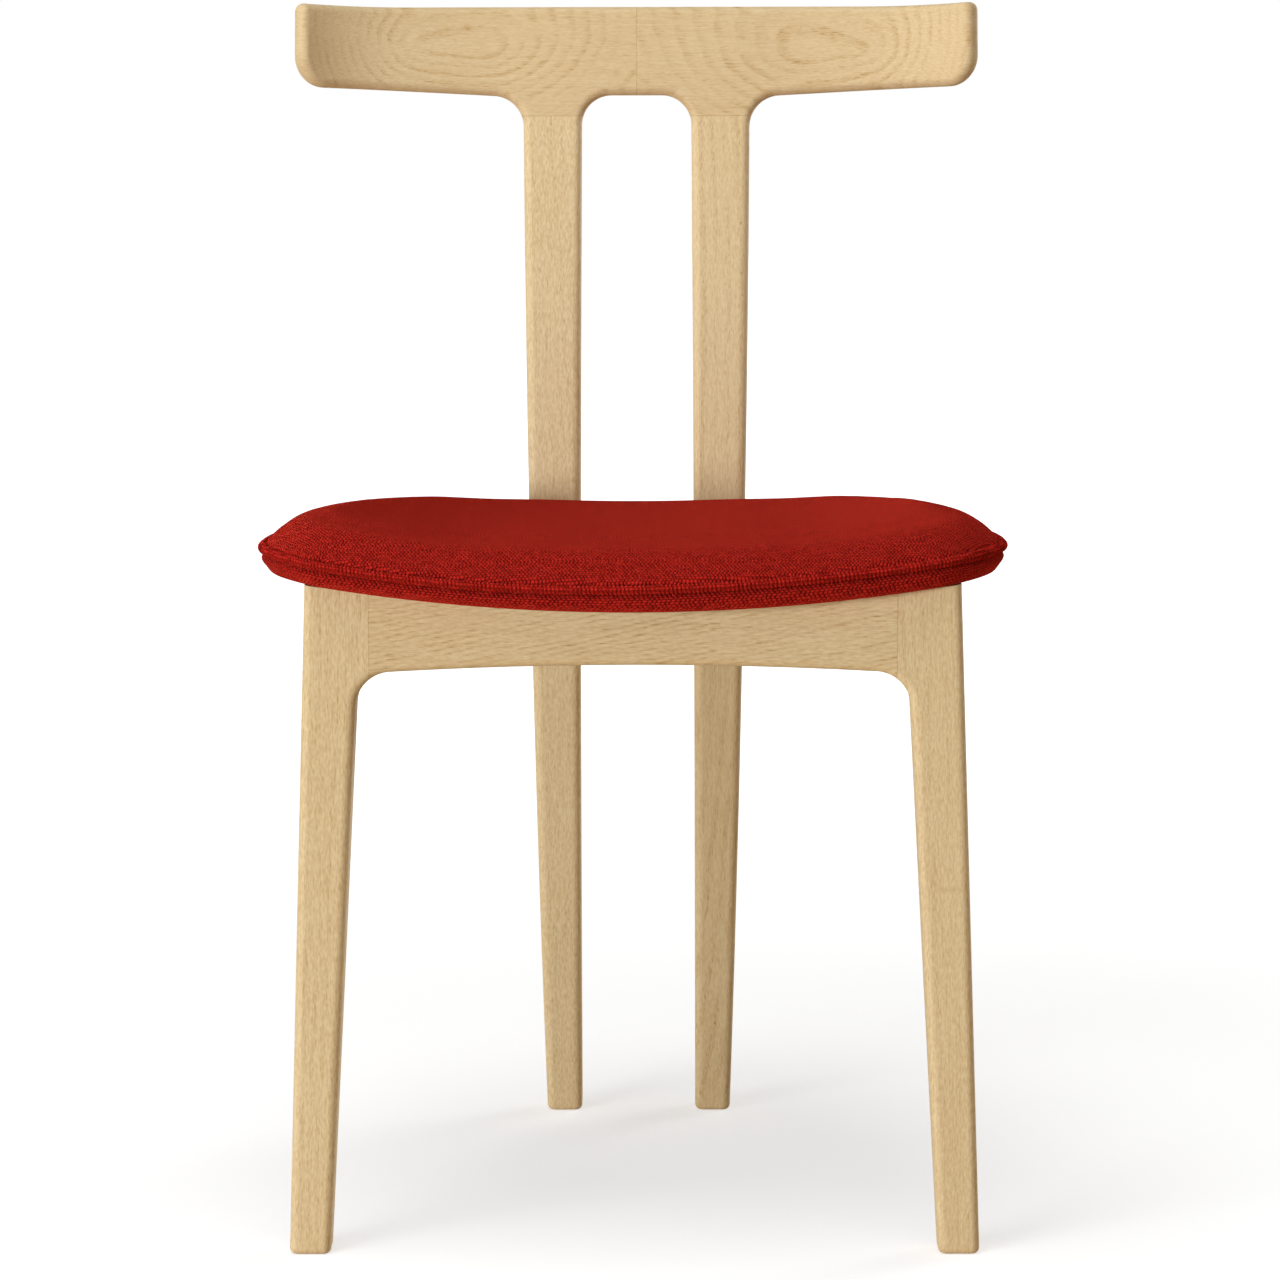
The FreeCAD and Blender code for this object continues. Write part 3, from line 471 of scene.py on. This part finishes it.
class Nodes:
    """A node tree under construction: short calls that add nodes and join them."""

    def __init__(self, tree):
        self.tree = tree

    def put(self, socket, value):
        if isinstance(value, bpy.types.NodeSocket):
            self.tree.links.new(value, socket)
        else:
            socket.default_value = value

    def node(self, kind, inputs=None, **settings):
        made = self.tree.nodes.new("ShaderNode" + kind)
        for key, value in settings.items():
            setattr(made, key, value)
        for key, value in (inputs or {}).items():
            self.put(made.inputs[key], value)
        return made

    def math(self, operation, *values):
        made = self.node("Math", operation=operation)
        for socket, value in zip(made.inputs, values):
            self.put(socket, value)
        return made.outputs[0]

    def total(self, *values):
        result = values[0]
        for value in values[1:]:
            result = self.math("ADD", result, value)
        return result

    def times(self, *values):
        result = values[0]
        for value in values[1:]:
            result = self.math("MULTIPLY", result, value)
        return result

    def less(self, first, second):
        return self.math("SUBTRACT", first, second)

    def limited(self, value):
        """A value held between 0 and 1."""
        return self.math("MINIMUM", self.math("MAXIMUM", value, 0.0), 1.0)

    def between(self, low, high, value):
        """0 below low, 1 above high, smooth in between."""
        made = self.node("MapRange", {"Value": value, "From Min": low, "From Max": high},
                         interpolation_type="SMOOTHSTEP")
        return made.outputs["Result"]

    def centred(self, value, amount):
        """A value from 0 to 1 moved to about zero, times an amount."""
        return self.times(self.less(value, 0.5), amount)

    def vector(self, operation, first, second):
        made = self.node("VectorMath", operation=operation)
        self.put(made.inputs[0], first)
        self.put(made.inputs[1], second)
        return made.outputs[0]

    def parts(self, vector):
        return self.node("SeparateXYZ", {"Vector": vector}).outputs

    def joined(self, x, y, z):
        return self.node("CombineXYZ", {"X": x, "Y": y, "Z": z}).outputs[0]

    def noise(self, place, size, detail=2.0, roughness=0.5):
        """Noise with features of one size, or of a size along each axis."""
        sizes = size if isinstance(size, tuple) else (size,) * 3
        scaled = self.vector("MULTIPLY", place, tuple(1 / part for part in sizes))
        made = self.node("TexNoise", {"Vector": scaled, "Scale": 1.0, "Detail": detail,
                                      "Roughness": roughness})
        return made.outputs["Fac"]

    def chance(self, number):
        """A value from 0 to 1 that differs from one whole number to the next."""
        made = self.node("TexWhiteNoise", {"W": number}, noise_dimensions="1D")
        return made.outputs["Value"]

    def mixed(self, factor, first, second):
        made = self.node("Mix", data_type="RGBA")
        self.put(made.inputs[0], factor)
        self.put(made.inputs[6], (*first, 1.0))
        self.put(made.inputs[7], (*second, 1.0))
        return made.outputs[2]

    def shows_background(self):
        """1 for rays that show the background: from the camera, a gloss or a clear surface."""
        path = self.node("LightPath").outputs
        result = path["Is Camera Ray"]
        for name in ("Is Glossy Ray", "Is Transmission Ray"):
            result = self.math("MAXIMUM", result, path[name])
        return result


class Shader(Nodes):
    """The nodes of a new material, with a principled surface."""

    def __init__(self, name):
        self.material = bpy.data.materials.new(name)
        self.material.use_nodes = True
        super().__init__(self.material.node_tree)
        self.tree.nodes.clear()
        self.surface = self.node("BsdfPrincipled")
        self.node("OutputMaterial", {"Surface": self.surface.outputs[0]})

    def millimetres(self):
        """Place on the object in millimetres of the shared frame."""
        place = self.node("TexCoord").outputs["Object"]
        return self.vector("MULTIPLY", place, (1 / MM,) * 3)

    def cloth_millimetres(self):
        """Place along and across a cloth in millimetres."""
        place = self.node("UVMap", uv_map="weave").outputs["UV"]
        return self.vector("MULTIPLY", place, (1 / MM,) * 3)

    def finish(self, colour, roughness, height, bump, bump_mm):
        """Join colour, roughness and a height field to the surface."""
        normal = self.node("Bump", {"Height": height, "Strength": bump, "Distance": bump_mm * MM})
        self.put(self.surface.inputs["Base Color"], colour)
        self.put(self.surface.inputs["Roughness"], roughness)
        self.put(self.surface.inputs["Normal"], normal.outputs["Normal"])
        return self.material


# Wood

OAK_LIGHT = (0.775, 0.630, 0.388)
OAK_DARK = (0.480, 0.295, 0.115)
RAIL_OAK = (0.740, 0.590, 0.360)
# paler oak for the back posts: partly the posts' own tone, partly painted light that makes up for
# the shade on them below the seat
POST_OAK_TONE_AND_PAINTED_LIGHT = (0.785, 0.640, 0.393)
HARDWOOD_LIGHT = (0.640, 0.470, 0.290)
HARDWOOD_DARK = (0.420, 0.270, 0.140)
UPRIGHT = ("Z", "X", "Y")      # axes along the grain, across it and into the face
LEVEL = ("X", "Z", "Y")
DEEP = ("Y", "X", "Z")
CUT_STEP = (317.0, 71.0, 53.0)  # millimetres from one piece's cut to the next

# Noise along the grain: length and width in millimetres, detail, roughness
RING_BEND = (110, 26, 2.0, 0.5)
RING_SHAKE = (9, 3.5, 3.0, 0.5)
RING_PATCH = (34, 13, 2.0, 0.5)
FIBRE = (30, 1.1, 3.0, 0.6)
PORE = (7.5, 0.75, 2.0, 0.5)
CLOUD = (150, 40, 1.0, 0.5)
RAY = (4.0, 1.2, 4.0)          # ray flecks along the grain, across it and into the face

# Levels between which a feature sets in
RING_START = (0.30, 0.78)      # share of a year
RING_END = (0.84, 1.0)
PATCH_LEVEL = (0.25, 0.62)
PORE_LEVEL = (0.52, 0.70)

# Amounts of each feature
BEND_YEARS = 2.0
SHAKE_YEARS = 0.45
YEAR_LEAST, YEAR_SPREAD = 0.45, 0.75  # depth of colour of a year's ring
RING_PLAIN, RING_PORES = 0.55, 0.95  # a ring's own colour, and that of its pores
WOOD_DARK, PORE_DARK, FIBRE_DARK, CLOUD_DARK = 0.18, 0.20, 0.60, 0.24
WOOD_ROUGH, RING_ROUGH, FIBRE_ROUGH = 0.52, 0.06, 0.14
FIBRE_RISE, PORE_SINK, RING_SINK = 0.35, 0.6, 0.15
WOOD_BUMP, WOOD_BUMP_MM = 0.35, 0.12
WOOD_SPECULAR = 0.12
SEAM_DARK = 0.30
SEAM_WIDTH = 0.5               # millimetres
SEAM_CORE = 0.4                # share of that which is darkest

# Nested ovals, in millimetres
OVAL_CORE = 20.0               # half length of the straight core
OVAL_ROUNDING = 12.0           # from the core into its ends
OVAL_HEIGHT = 0.72             # share of their spread
OVAL_BLUNT = 0.3               # blunts the innermost ring
OVAL_DEPTH_PITCH = 7.0         # of the rings into the face

# Plywood
VENEER = 1.4                   # millimetres
GLUE_LEVEL = (0.5, 0.9)        # millimetres into a veneer between which its dark edge sets in
PLY_GRAIN = ((40, 2, 2), 3.0)  # size in millimetres, detail
PLY_DARK, GLUE_DARK, GRAIN_DARK = 0.15, 0.4, 0.5
PLY_ROUGH, GRAIN_ROUGH = 0.6, 0.1
PLY_BUMP, PLY_BUMP_MM = 0.2, 0.2


def straight_rings(pitch, lean=0.0, slant=0.35):
    """Year rings along the piece, so many millimetres apart.

    They shift sideways by lean along it and by slant into the face.
    """
    def years(shader, grain):
        along, across, depth = shader.parts(grain)
        return shader.total(shader.times(across, 1 / pitch), shader.times(along, lean / pitch),
                            shader.times(depth, slant / pitch))
    return years


def oval_rings(centre, spread):
    """Year rings that a curved face cuts into nested ovals round a long core."""
    def years(shader, grain):
        along, across, depth = shader.parts(grain)
        past = shader.less(shader.math("ABSOLUTE", shader.less(along, centre[0])), OVAL_CORE)
        x = shader.times(shader.math("SMOOTH_MAX", past, 0.0, OVAL_ROUNDING), 1 / spread)
        z = shader.times(shader.less(across, centre[1]), 1 / (spread * OVAL_HEIGHT))
        squares = shader.total(shader.times(x, x), shader.times(z, z), OVAL_BLUNT)
        far = shader.math("SQRT", squares)
        return shader.less(far, shader.times(depth, 1 / OVAL_DEPTH_PITCH))
    return years


def wood(name, order, cut, rings, light=OAK_LIGHT, dark=OAK_DARK, ring_depth=0.24, fleck=0.75,
         waver=0.8, seams=()):
    """Year rings made of rows of pores, with fibres and ray flecks along one piece's grain.

    ring_depth and fleck are how dark rings and ray flecks are, waver is how uneven the rings
    are, and seams are glue lines, each an axis and its place there in millimetres.
    """
    shader = Shader(name)
    place = shader.millimetres()
    axes = dict(zip("XYZ", shader.parts(place)))
    straight = shader.joined(*[axes[letter] for letter in order])
    shifted = shader.vector("ADD", straight, tuple(cut * step for step in CUT_STEP))

    def grain(length, width, detail, roughness):
        return shader.noise(shifted, (length, width, width), detail, roughness)

    count = shader.total(rings(shader, straight),
                         shader.centred(grain(*RING_BEND), BEND_YEARS * waver),
                         shader.centred(grain(*RING_SHAKE), SHAKE_YEARS * waver))
    phase = shader.math("FRACT", count)
    band = shader.times(shader.between(*RING_START, phase),
                        shader.less(1.0, shader.between(*RING_END, phase)))
    year = shader.chance(shader.math("FLOOR", count))
    ring = shader.times(band, shader.total(YEAR_LEAST, shader.times(year, YEAR_SPREAD)),
                        shader.between(*PATCH_LEVEL, grain(*RING_PATCH)))
    fibre = grain(*FIBRE)
    pores = shader.between(*PORE_LEVEL, grain(*PORE))
    ray = shader.noise(shifted, RAY)
    ring_pores = shader.total(RING_PLAIN, shader.times(pores, RING_PORES))
    darkness = shader.total(
        WOOD_DARK, shader.times(ring, ring_depth, ring_pores), shader.times(pores, PORE_DARK),
        shader.centred(fibre, FIBRE_DARK), shader.centred(ray, fleck),
        shader.centred(grain(*CLOUD), CLOUD_DARK))
    for axis, value in seams:
        gap = shader.math("ABSOLUTE", shader.less(axes[axis], value))
        line = shader.less(1.0, shader.between(SEAM_WIDTH * SEAM_CORE, SEAM_WIDTH, gap))
        darkness = shader.total(darkness, shader.times(line, SEAM_DARK))
    colour = shader.mixed(shader.limited(darkness), light, dark)
    roughness = shader.total(WOOD_ROUGH, shader.times(ring, RING_ROUGH),
                             shader.centred(fibre, FIBRE_ROUGH))
    sunk = shader.total(shader.times(pores, PORE_SINK), shader.times(ring, RING_SINK))
    height = shader.less(shader.centred(fibre, FIBRE_RISE), sunk)
    shader.surface.inputs["Specular IOR Level"].default_value = WOOD_SPECULAR
    return shader.finish(colour, roughness, height, WOOD_BUMP, WOOD_BUMP_MM)


def plywood(name):
    """Bent plywood: fine veneers on the edge and a plain face."""
    shader = Shader(name)
    place = shader.millimetres()
    x, y, z = shader.parts(place)
    level = shader.less(z, shader.times(x, x, MM / (2 * DISH_RADIUS)))
    level = shader.total(level, shader.times(y, seat_slope))
    layer = shader.between(*GLUE_LEVEL, shader.math("PINGPONG", level, VENEER))
    grain = shader.noise(place, *PLY_GRAIN)
    mix = shader.total(PLY_DARK, shader.times(layer, GLUE_DARK), shader.centred(grain, GRAIN_DARK))
    colour = shader.mixed(mix, HARDWOOD_LIGHT, HARDWOOD_DARK)
    roughness = shader.total(PLY_ROUGH, shader.centred(grain, GRAIN_ROUGH))
    return shader.finish(colour, roughness, grain, PLY_BUMP, PLY_BUMP_MM)


# Cloth and metal

RED_HIGH = (0.535, 0.0225, 0.0155)
# darkest wool colour: for dark specks and worn places, and for the painted shade in the gaps
# between yarn bumps
RED_LOW = (0.110, 0.0040, 0.0030)
RED_SHEEN = (0.95, 0.07, 0.04, 1.0)
SHEEN, SHEEN_ROUGHNESS = 1.0, 0.25
PAD_YARN, PAD_RELIEF = (2.4, 1.7), 0.9  # a yarn bump's length and width in millimetres
BAND_YARN, BAND_RELIEF = (3.0, 1.7), 0.8
WELT_YARN, WELT_RELIEF = (2.4, 2.0), 0.5
RELIEF_MM = 0.9
STRAY, WORN = 7, 60            # size of uneven rows and of wear, in millimetres
FUZZ = (0.7, 3.0, 0.6)         # loose fibres: size in millimetres, detail, roughness
STRAY_ACROSS, STRAY_ALONG = 0.7, 0.9  # in rows and in bumps
ROW_SHIFT, ROW_CHANCE = 0.5, 0.25  # of a bump, from one row to the next
HALF_LENGTH, LENGTH_CHANCE = 0.50, 0.16  # of a bump, in its cell
HALF_WIDTH, WIDTH_CHANCE = 0.58, -0.14
# the hill share is painted shade: the colour is light on each yarn bump's crown and dark in the
# gaps between bumps, where shade falls; specks, fuzz and wear are the wool's own tone
LIGHT_LEAST, PAINTED_GAP_SHADE, LIGHT_SPECK, LIGHT_FUZZ, LIGHT_WORN = 0.02, 0.90, 0.36, 0.42, 0.12
FUZZ_HEIGHT, SPECK_HEIGHT = 0.5, 0.35
WOOL_ROUGH, FUZZ_ROUGH = 0.86, 0.12
FELT_DARK, FELT_LIGHT = (0.018, 0.018, 0.019), (0.050, 0.048, 0.046)
FELT_FIBRE = (0.9, 4.0, 0.7)   # size in millimetres, detail, roughness
FELT_CLUMP = 14                # millimetres
FIBRE_SHARE, CLUMP_SHARE = 0.6, 0.4
FELT_ROUGH, FELT_FIBRE_ROUGH = 0.9, 0.1
FELT_BUMP, FELT_BUMP_MM = 0.4, 0.3
ZINC_DARK, ZINC_LIGHT = (0.50, 0.51, 0.53), (0.70, 0.70, 0.70)
ZINC_MOTTLE = (1.6, 3.0)       # size in millimetres, detail
ZINC_SCRATCH = (6, 0.3, 0.3)   # millimetres
ZINC_ROUGH, MOTTLE_ROUGH, SCRATCH_ROUGH = 0.30, 0.12, 0.10
ZINC_BUMP, ZINC_BUMP_MM = 0.1, 0.05


def woven(name, yarn, relief):
    """Coarse wool: rows of short yarn bumps, each row half a bump along from the last; painted
    shade darkens the gaps.
    """
    shader = Shader(name)
    place = shader.cloth_millimetres()
    long, tall = yarn
    stray = shader.noise(place, STRAY)
    fuzz = shader.noise(place, *FUZZ)
    u, v, _ = shader.parts(place)
    v = shader.total(shader.times(v, 1 / tall), shader.centred(stray, STRAY_ACROSS))
    row = shader.math("FLOOR", v)
    shift = shader.chance(row)
    u = shader.total(shader.times(u, 1 / long), shader.centred(stray, STRAY_ALONG),
                     shader.times(row, ROW_SHIFT), shader.times(shift, ROW_CHANCE))
    column = shader.math("FLOOR", u)
    speck = shader.node("TexWhiteNoise", {"Vector": shader.joined(column, row, 0.0)},
                        noise_dimensions="3D").outputs["Value"]
    x = shader.math("DIVIDE", shader.less(shader.math("FRACT", u), 0.5),
                    shader.total(HALF_LENGTH, shader.centred(speck, LENGTH_CHANCE)))
    y = shader.math("DIVIDE", shader.less(shader.math("FRACT", v), 0.5),
                    shader.total(HALF_WIDTH, shader.centred(speck, WIDTH_CHANCE)))
    reach = shader.total(shader.times(x, x), shader.times(y, y))
    hill = shader.math("SQRT", shader.math("MAXIMUM", shader.less(1.0, reach), 0.0))
    worn = shader.noise(place, WORN)
    # painted shade: the hill lightens each bump's crown, so the gaps between bumps take the dark
    # end of the colour
    light = shader.total(
        LIGHT_LEAST, shader.times(hill, PAINTED_GAP_SHADE), shader.centred(speck, LIGHT_SPECK),
        shader.centred(fuzz, LIGHT_FUZZ), shader.centred(worn, LIGHT_WORN))
    colour = shader.mixed(shader.limited(light), RED_LOW, RED_HIGH)
    height = shader.total(hill, shader.centred(fuzz, FUZZ_HEIGHT),
                          shader.centred(speck, SPECK_HEIGHT))
    surface = shader.surface.inputs
    surface["Specular IOR Level"].default_value = 0.0
    surface["Sheen Weight"].default_value = SHEEN
    surface["Sheen Roughness"].default_value = SHEEN_ROUGHNESS
    surface["Sheen Tint"].default_value = RED_SHEEN
    roughness = shader.total(WOOL_ROUGH, shader.centred(fuzz, FUZZ_ROUGH))
    return shader.finish(colour, roughness, height, relief, RELIEF_MM)


def felt(name):
    """Thin black felted cloth."""
    shader = Shader(name)
    place = shader.millimetres()
    fibres = shader.noise(place, *FELT_FIBRE)
    clumps = shader.noise(place, FELT_CLUMP)
    mix = shader.total(shader.times(fibres, FIBRE_SHARE), shader.times(clumps, CLUMP_SHARE))
    colour = shader.mixed(mix, FELT_DARK, FELT_LIGHT)
    roughness = shader.total(FELT_ROUGH, shader.centred(fibres, FELT_FIBRE_ROUGH))
    return shader.finish(colour, roughness, fibres, FELT_BUMP, FELT_BUMP_MM)


def zinc(name):
    """Zinc-plated steel with a faint mottle."""
    shader = Shader(name)
    place = shader.millimetres()
    mottle = shader.noise(place, *ZINC_MOTTLE)
    scratch = shader.noise(place, ZINC_SCRATCH)
    colour = shader.mixed(mottle, ZINC_DARK, ZINC_LIGHT)
    shader.surface.inputs["Metallic"].default_value = 1.0
    roughness = shader.total(ZINC_ROUGH, shader.times(mottle, MOTTLE_ROUGH),
                             shader.times(scratch, SCRATCH_ROUGH))
    return shader.finish(colour, roughness, scratch, ZINC_BUMP, ZINC_BUMP_MM)


# Dressing

RAIL_RISE = 12.0               # lower edge of the top rail above the joint with a post, millimetres
RAIL_OVALS = (("right", 1, 140.0, 0.0, 13.5),  # cut, ovals' middle along and up, spread
              ("left", 2, -128.0, 3.0, 11.0))
LEG_SPLAY = 0.045
SIDE_RAIL_LEAN = 0.3
HARDWOOD = (HARDWOOD_LIGHT, HARDWOOD_DARK)
PEGS = ("top_rail_tenon", "post_tenons", "front_rail_dowels", "side_rail_front_dowels",
        "side_rail_rear_dowels", "rear_rail_dowels")
FASTENERS = ("block_screws", "dust_cover_staples", "seat_bolts", "seat_bolt_washers",
             "seat_tee_nuts")


def dress(node, material):
    """Give a carried-over piece its material."""
    mesh = nodes[node].data
    mesh.materials.clear()
    mesh.materials.append(material)


def dress_wood():
    """Each wooden piece has its own cut of the tree."""
    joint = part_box("back_post_right")[1].z / MM
    rail_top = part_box("top_rail_right")[1].z / MM
    rail_middle = (rail_top + joint + RAIL_RISE) / 2
    leg_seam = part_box("front_rail")[1].x / MM
    for side, cut, along, up, spread in RAIL_OVALS:
        dress("top_rail_" + side, wood(
            "oak_rail_" + side, LEVEL, cut, oval_rings((along, rail_middle + up), spread),
            RAIL_OAK, ring_depth=0.40, fleck=0.50, waver=0.45, seams=(("X", 0.0), ("Z", joint))))
    # the back posts get the paler oak: partly their own tone, partly painted light against the
    # shade under the seat
    dress("back_post_left", wood(
        "oak_post_left", UPRIGHT, 3, straight_rings(7.0, lean=0.012),
        POST_OAK_TONE_AND_PAINTED_LIGHT, ring_depth=0.16, fleck=1.05, seams=(("Z", joint),)))
    dress("back_post_right", wood(
        "oak_post_right", UPRIGHT, 4, straight_rings(9.0, lean=-0.07, slant=0.5),
        POST_OAK_TONE_AND_PAINTED_LIGHT, ring_depth=0.30, fleck=0.70, waver=0.5, seams=(("Z", joint),)))
    for side, sign, cut in (("right", 1, 5), ("left", -1, 6)):
        dress("front_leg_" + side, wood(
            "oak_leg_" + side, UPRIGHT, cut, straight_rings(6.5, lean=sign * LEG_SPLAY),
            ring_depth=0.18, fleck=1.10, seams=(("X", sign * leg_seam),)))
        dress("side_rail_" + side, wood(
            "oak_side_rail_" + side, DEEP, cut + 2,
            straight_rings(6.0, lean=sign * SIDE_RAIL_LEAN)))
        dress("corner_block_" + side, wood(
            "hardwood_block_" + side, LEVEL, cut + 4, straight_rings(5.0), *HARDWOOD))
    dress("front_rail", wood(
        "oak_front_rail", LEVEL, 11, straight_rings(3.6, lean=-0.22, slant=0.6),
        ring_depth=0.42, waver=1.0, seams=(("X", leg_seam), ("X", -leg_seam))))
    dress("rear_rail", wood("oak_rear_rail", LEVEL, 12, straight_rings(6.0)))
    dress("rear_block", wood("hardwood_rear_block", LEVEL, 13, straight_rings(5.0), *HARDWOOD))
    pegs = wood("hardwood_pegs", UPRIGHT, 14, straight_rings(3.0), *HARDWOOD)
    for node in PEGS:
        dress(node, pegs)
    dress("seat_shell", plywood("plywood_shell"))


def dress_metal():
    metal = zinc("zinc_steel")
    for node in FASTENERS:
        dress(node, metal)


def make_upholstery():
    """Pad, welt, band and dust cloth in place of the plain solids."""
    pad = make_pad(woven("wool_pad", PAD_YARN, PAD_RELIEF))
    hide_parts("seat_foam", "seat_cover")
    welt = make_welt(woven("wool_welt", WELT_YARN, WELT_RELIEF))
    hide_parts("seat_welt")
    band, width = make_band(woven("wool_band", BAND_YARN, BAND_RELIEF))
    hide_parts("seat_band")
    dust = make_dust_cloth(felt("black_felt"))
    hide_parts("dust_cover")
    for piece in (pad, welt, band, dust):
        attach(piece, BODY)


# Studio

WORLD_LIGHT = 0.18
WORLD_COLOUR = (1.0, 0.78, 0.50)
FLOOR_HALF = 12.0              # metres
FLOOR_ALBEDO = 0.85
FLOOR_BOUNCE = (0.72, 0.54, 0.355)  # what the floor throws back on the chair
FLOOR_GLOW = 0.52              # what the camera sees added, near the chair and far from it
FAR_GLOW = 1.0
GLOW_SPREAD = (0.5, 2.5)       # metres between the two
FLOOR_TINT = (0.955, 1.0, 1.06)
LAMP_COLOUR = (0.95, 0.98, 1.0)
LAMPS = (                      # name, place, height aimed at, width and height, watts
    ("key", (-1.55, -1.95, 2.05), 0.42, (1.5, 1.5), 5.0),
    ("top", (-0.3, -0.6, 3.0), 0.45, (2.0, 2.0), 33.0),
    ("fill", (-6.0, -6.7, 0.95), 0.35, (5.6, 1.5), 580.0),
    ("rear", (6.6, 5.2, 1.8), 0.45, (5.0, 2.0), 290.0))


def pale_floor():
    """Floor paint that reads as white and keeps the shadows."""
    material = bpy.data.materials.new("pale_floor")
    material.use_nodes = True
    paint = Nodes(material.node_tree)
    paint.tree.nodes.clear()
    seen = paint.shows_background()
    colour = paint.mixed(seen, FLOOR_BOUNCE, (FLOOR_ALBEDO,) * 3)
    diffuse = paint.node("BsdfDiffuse", {"Color": colour})
    place = paint.node("TexCoord").outputs["Object"]
    distance = paint.node("VectorMath", {0: place}, operation="LENGTH").outputs["Value"]
    near, far = GLOW_SPREAD
    spread = paint.node("MapRange", {"Value": distance, "From Min": near, "From Max": far,
                                     "To Min": FLOOR_GLOW, "To Max": FAR_GLOW},
                        interpolation_type="SMOOTHSTEP").outputs["Result"]
    glow = paint.node("Emission", {"Color": (*FLOOR_TINT, 1.0),
                                   "Strength": paint.times(spread, seen)})
    both = paint.node("AddShader", {0: diffuse.outputs[0], 1: glow.outputs[0]})
    paint.node("OutputMaterial", {"Surface": both.outputs[0]})
    return material


def make_floor():
    half = FLOOR_HALF
    mesh = bpy.data.meshes.new("floor")
    corners = [(-half, -half, 0), (half, -half, 0), (half, half, 0), (-half, half, 0)]
    mesh.from_pydata(corners, [], [(0, 1, 2, 3)])
    mesh.materials.append(pale_floor())
    floor = bpy.data.objects.new("floor", mesh)
    bpy.context.scene.collection.objects.link(floor)


def make_world():
    """White for the camera, and a weak warm light on the chair."""
    world = bpy.data.worlds.new("studio")
    bpy.context.scene.world = world
    world.use_nodes = True
    sky = Nodes(world.node_tree)
    seen = sky.shows_background()
    level = sky.node("MapRange", {"Value": seen, "To Min": WORLD_LIGHT, "To Max": 1.0})
    back = sky.tree.nodes["Background"].inputs
    sky.put(back["Color"], sky.mixed(seen, WORLD_COLOUR, (1.0, 1.0, 1.0)))
    sky.put(back["Strength"], level.outputs["Result"])


def make_lamp(name, place, aim_height, size, watts):
    lamp = bpy.data.lights.new(name, "AREA")
    lamp.shape = "ELLIPSE"
    lamp.size, lamp.size_y = size
    lamp.energy = watts
    lamp.color = LAMP_COLOUR
    holder = bpy.data.objects.new(name, lamp)
    bpy.context.scene.collection.objects.link(holder)
    holder.location = place
    aim = Vector((0.0, 0.0, aim_height)) - Vector(place)
    holder.rotation_euler = aim.to_track_quat("-Z", "Y").to_euler()


def make_camera():
    data = bpy.data.cameras.new("camera")
    data.sensor_width = SENSOR
    data.lens = FOCAL_PIXELS / PHOTO_WIDTH * SENSOR
    camera = bpy.data.objects.new("camera", data)
    bpy.context.scene.collection.objects.link(camera)
    place = Matrix.Translation((CAMERA_SIDE, leg_low.y - CAMERA_AHEAD, CAMERA_HEIGHT))
    turn = Matrix.Rotation(math.radians(CAMERA_YAW), 4, "Z")
    tip = Matrix.Rotation(math.radians(90.0 - CAMERA_PITCH), 4, "X")
    roll = Matrix.Rotation(math.radians(-CAMERA_ROLL), 4, "Z")
    camera.matrix_world = place @ turn @ tip @ roll
    bpy.context.scene.camera = camera


dress_wood()
dress_metal()
make_upholstery()
make_floor()
make_world()
for lamp_values in LAMPS:
    make_lamp(*lamp_values)
make_camera()
bpy.context.scene.view_settings.view_transform = "Standard"
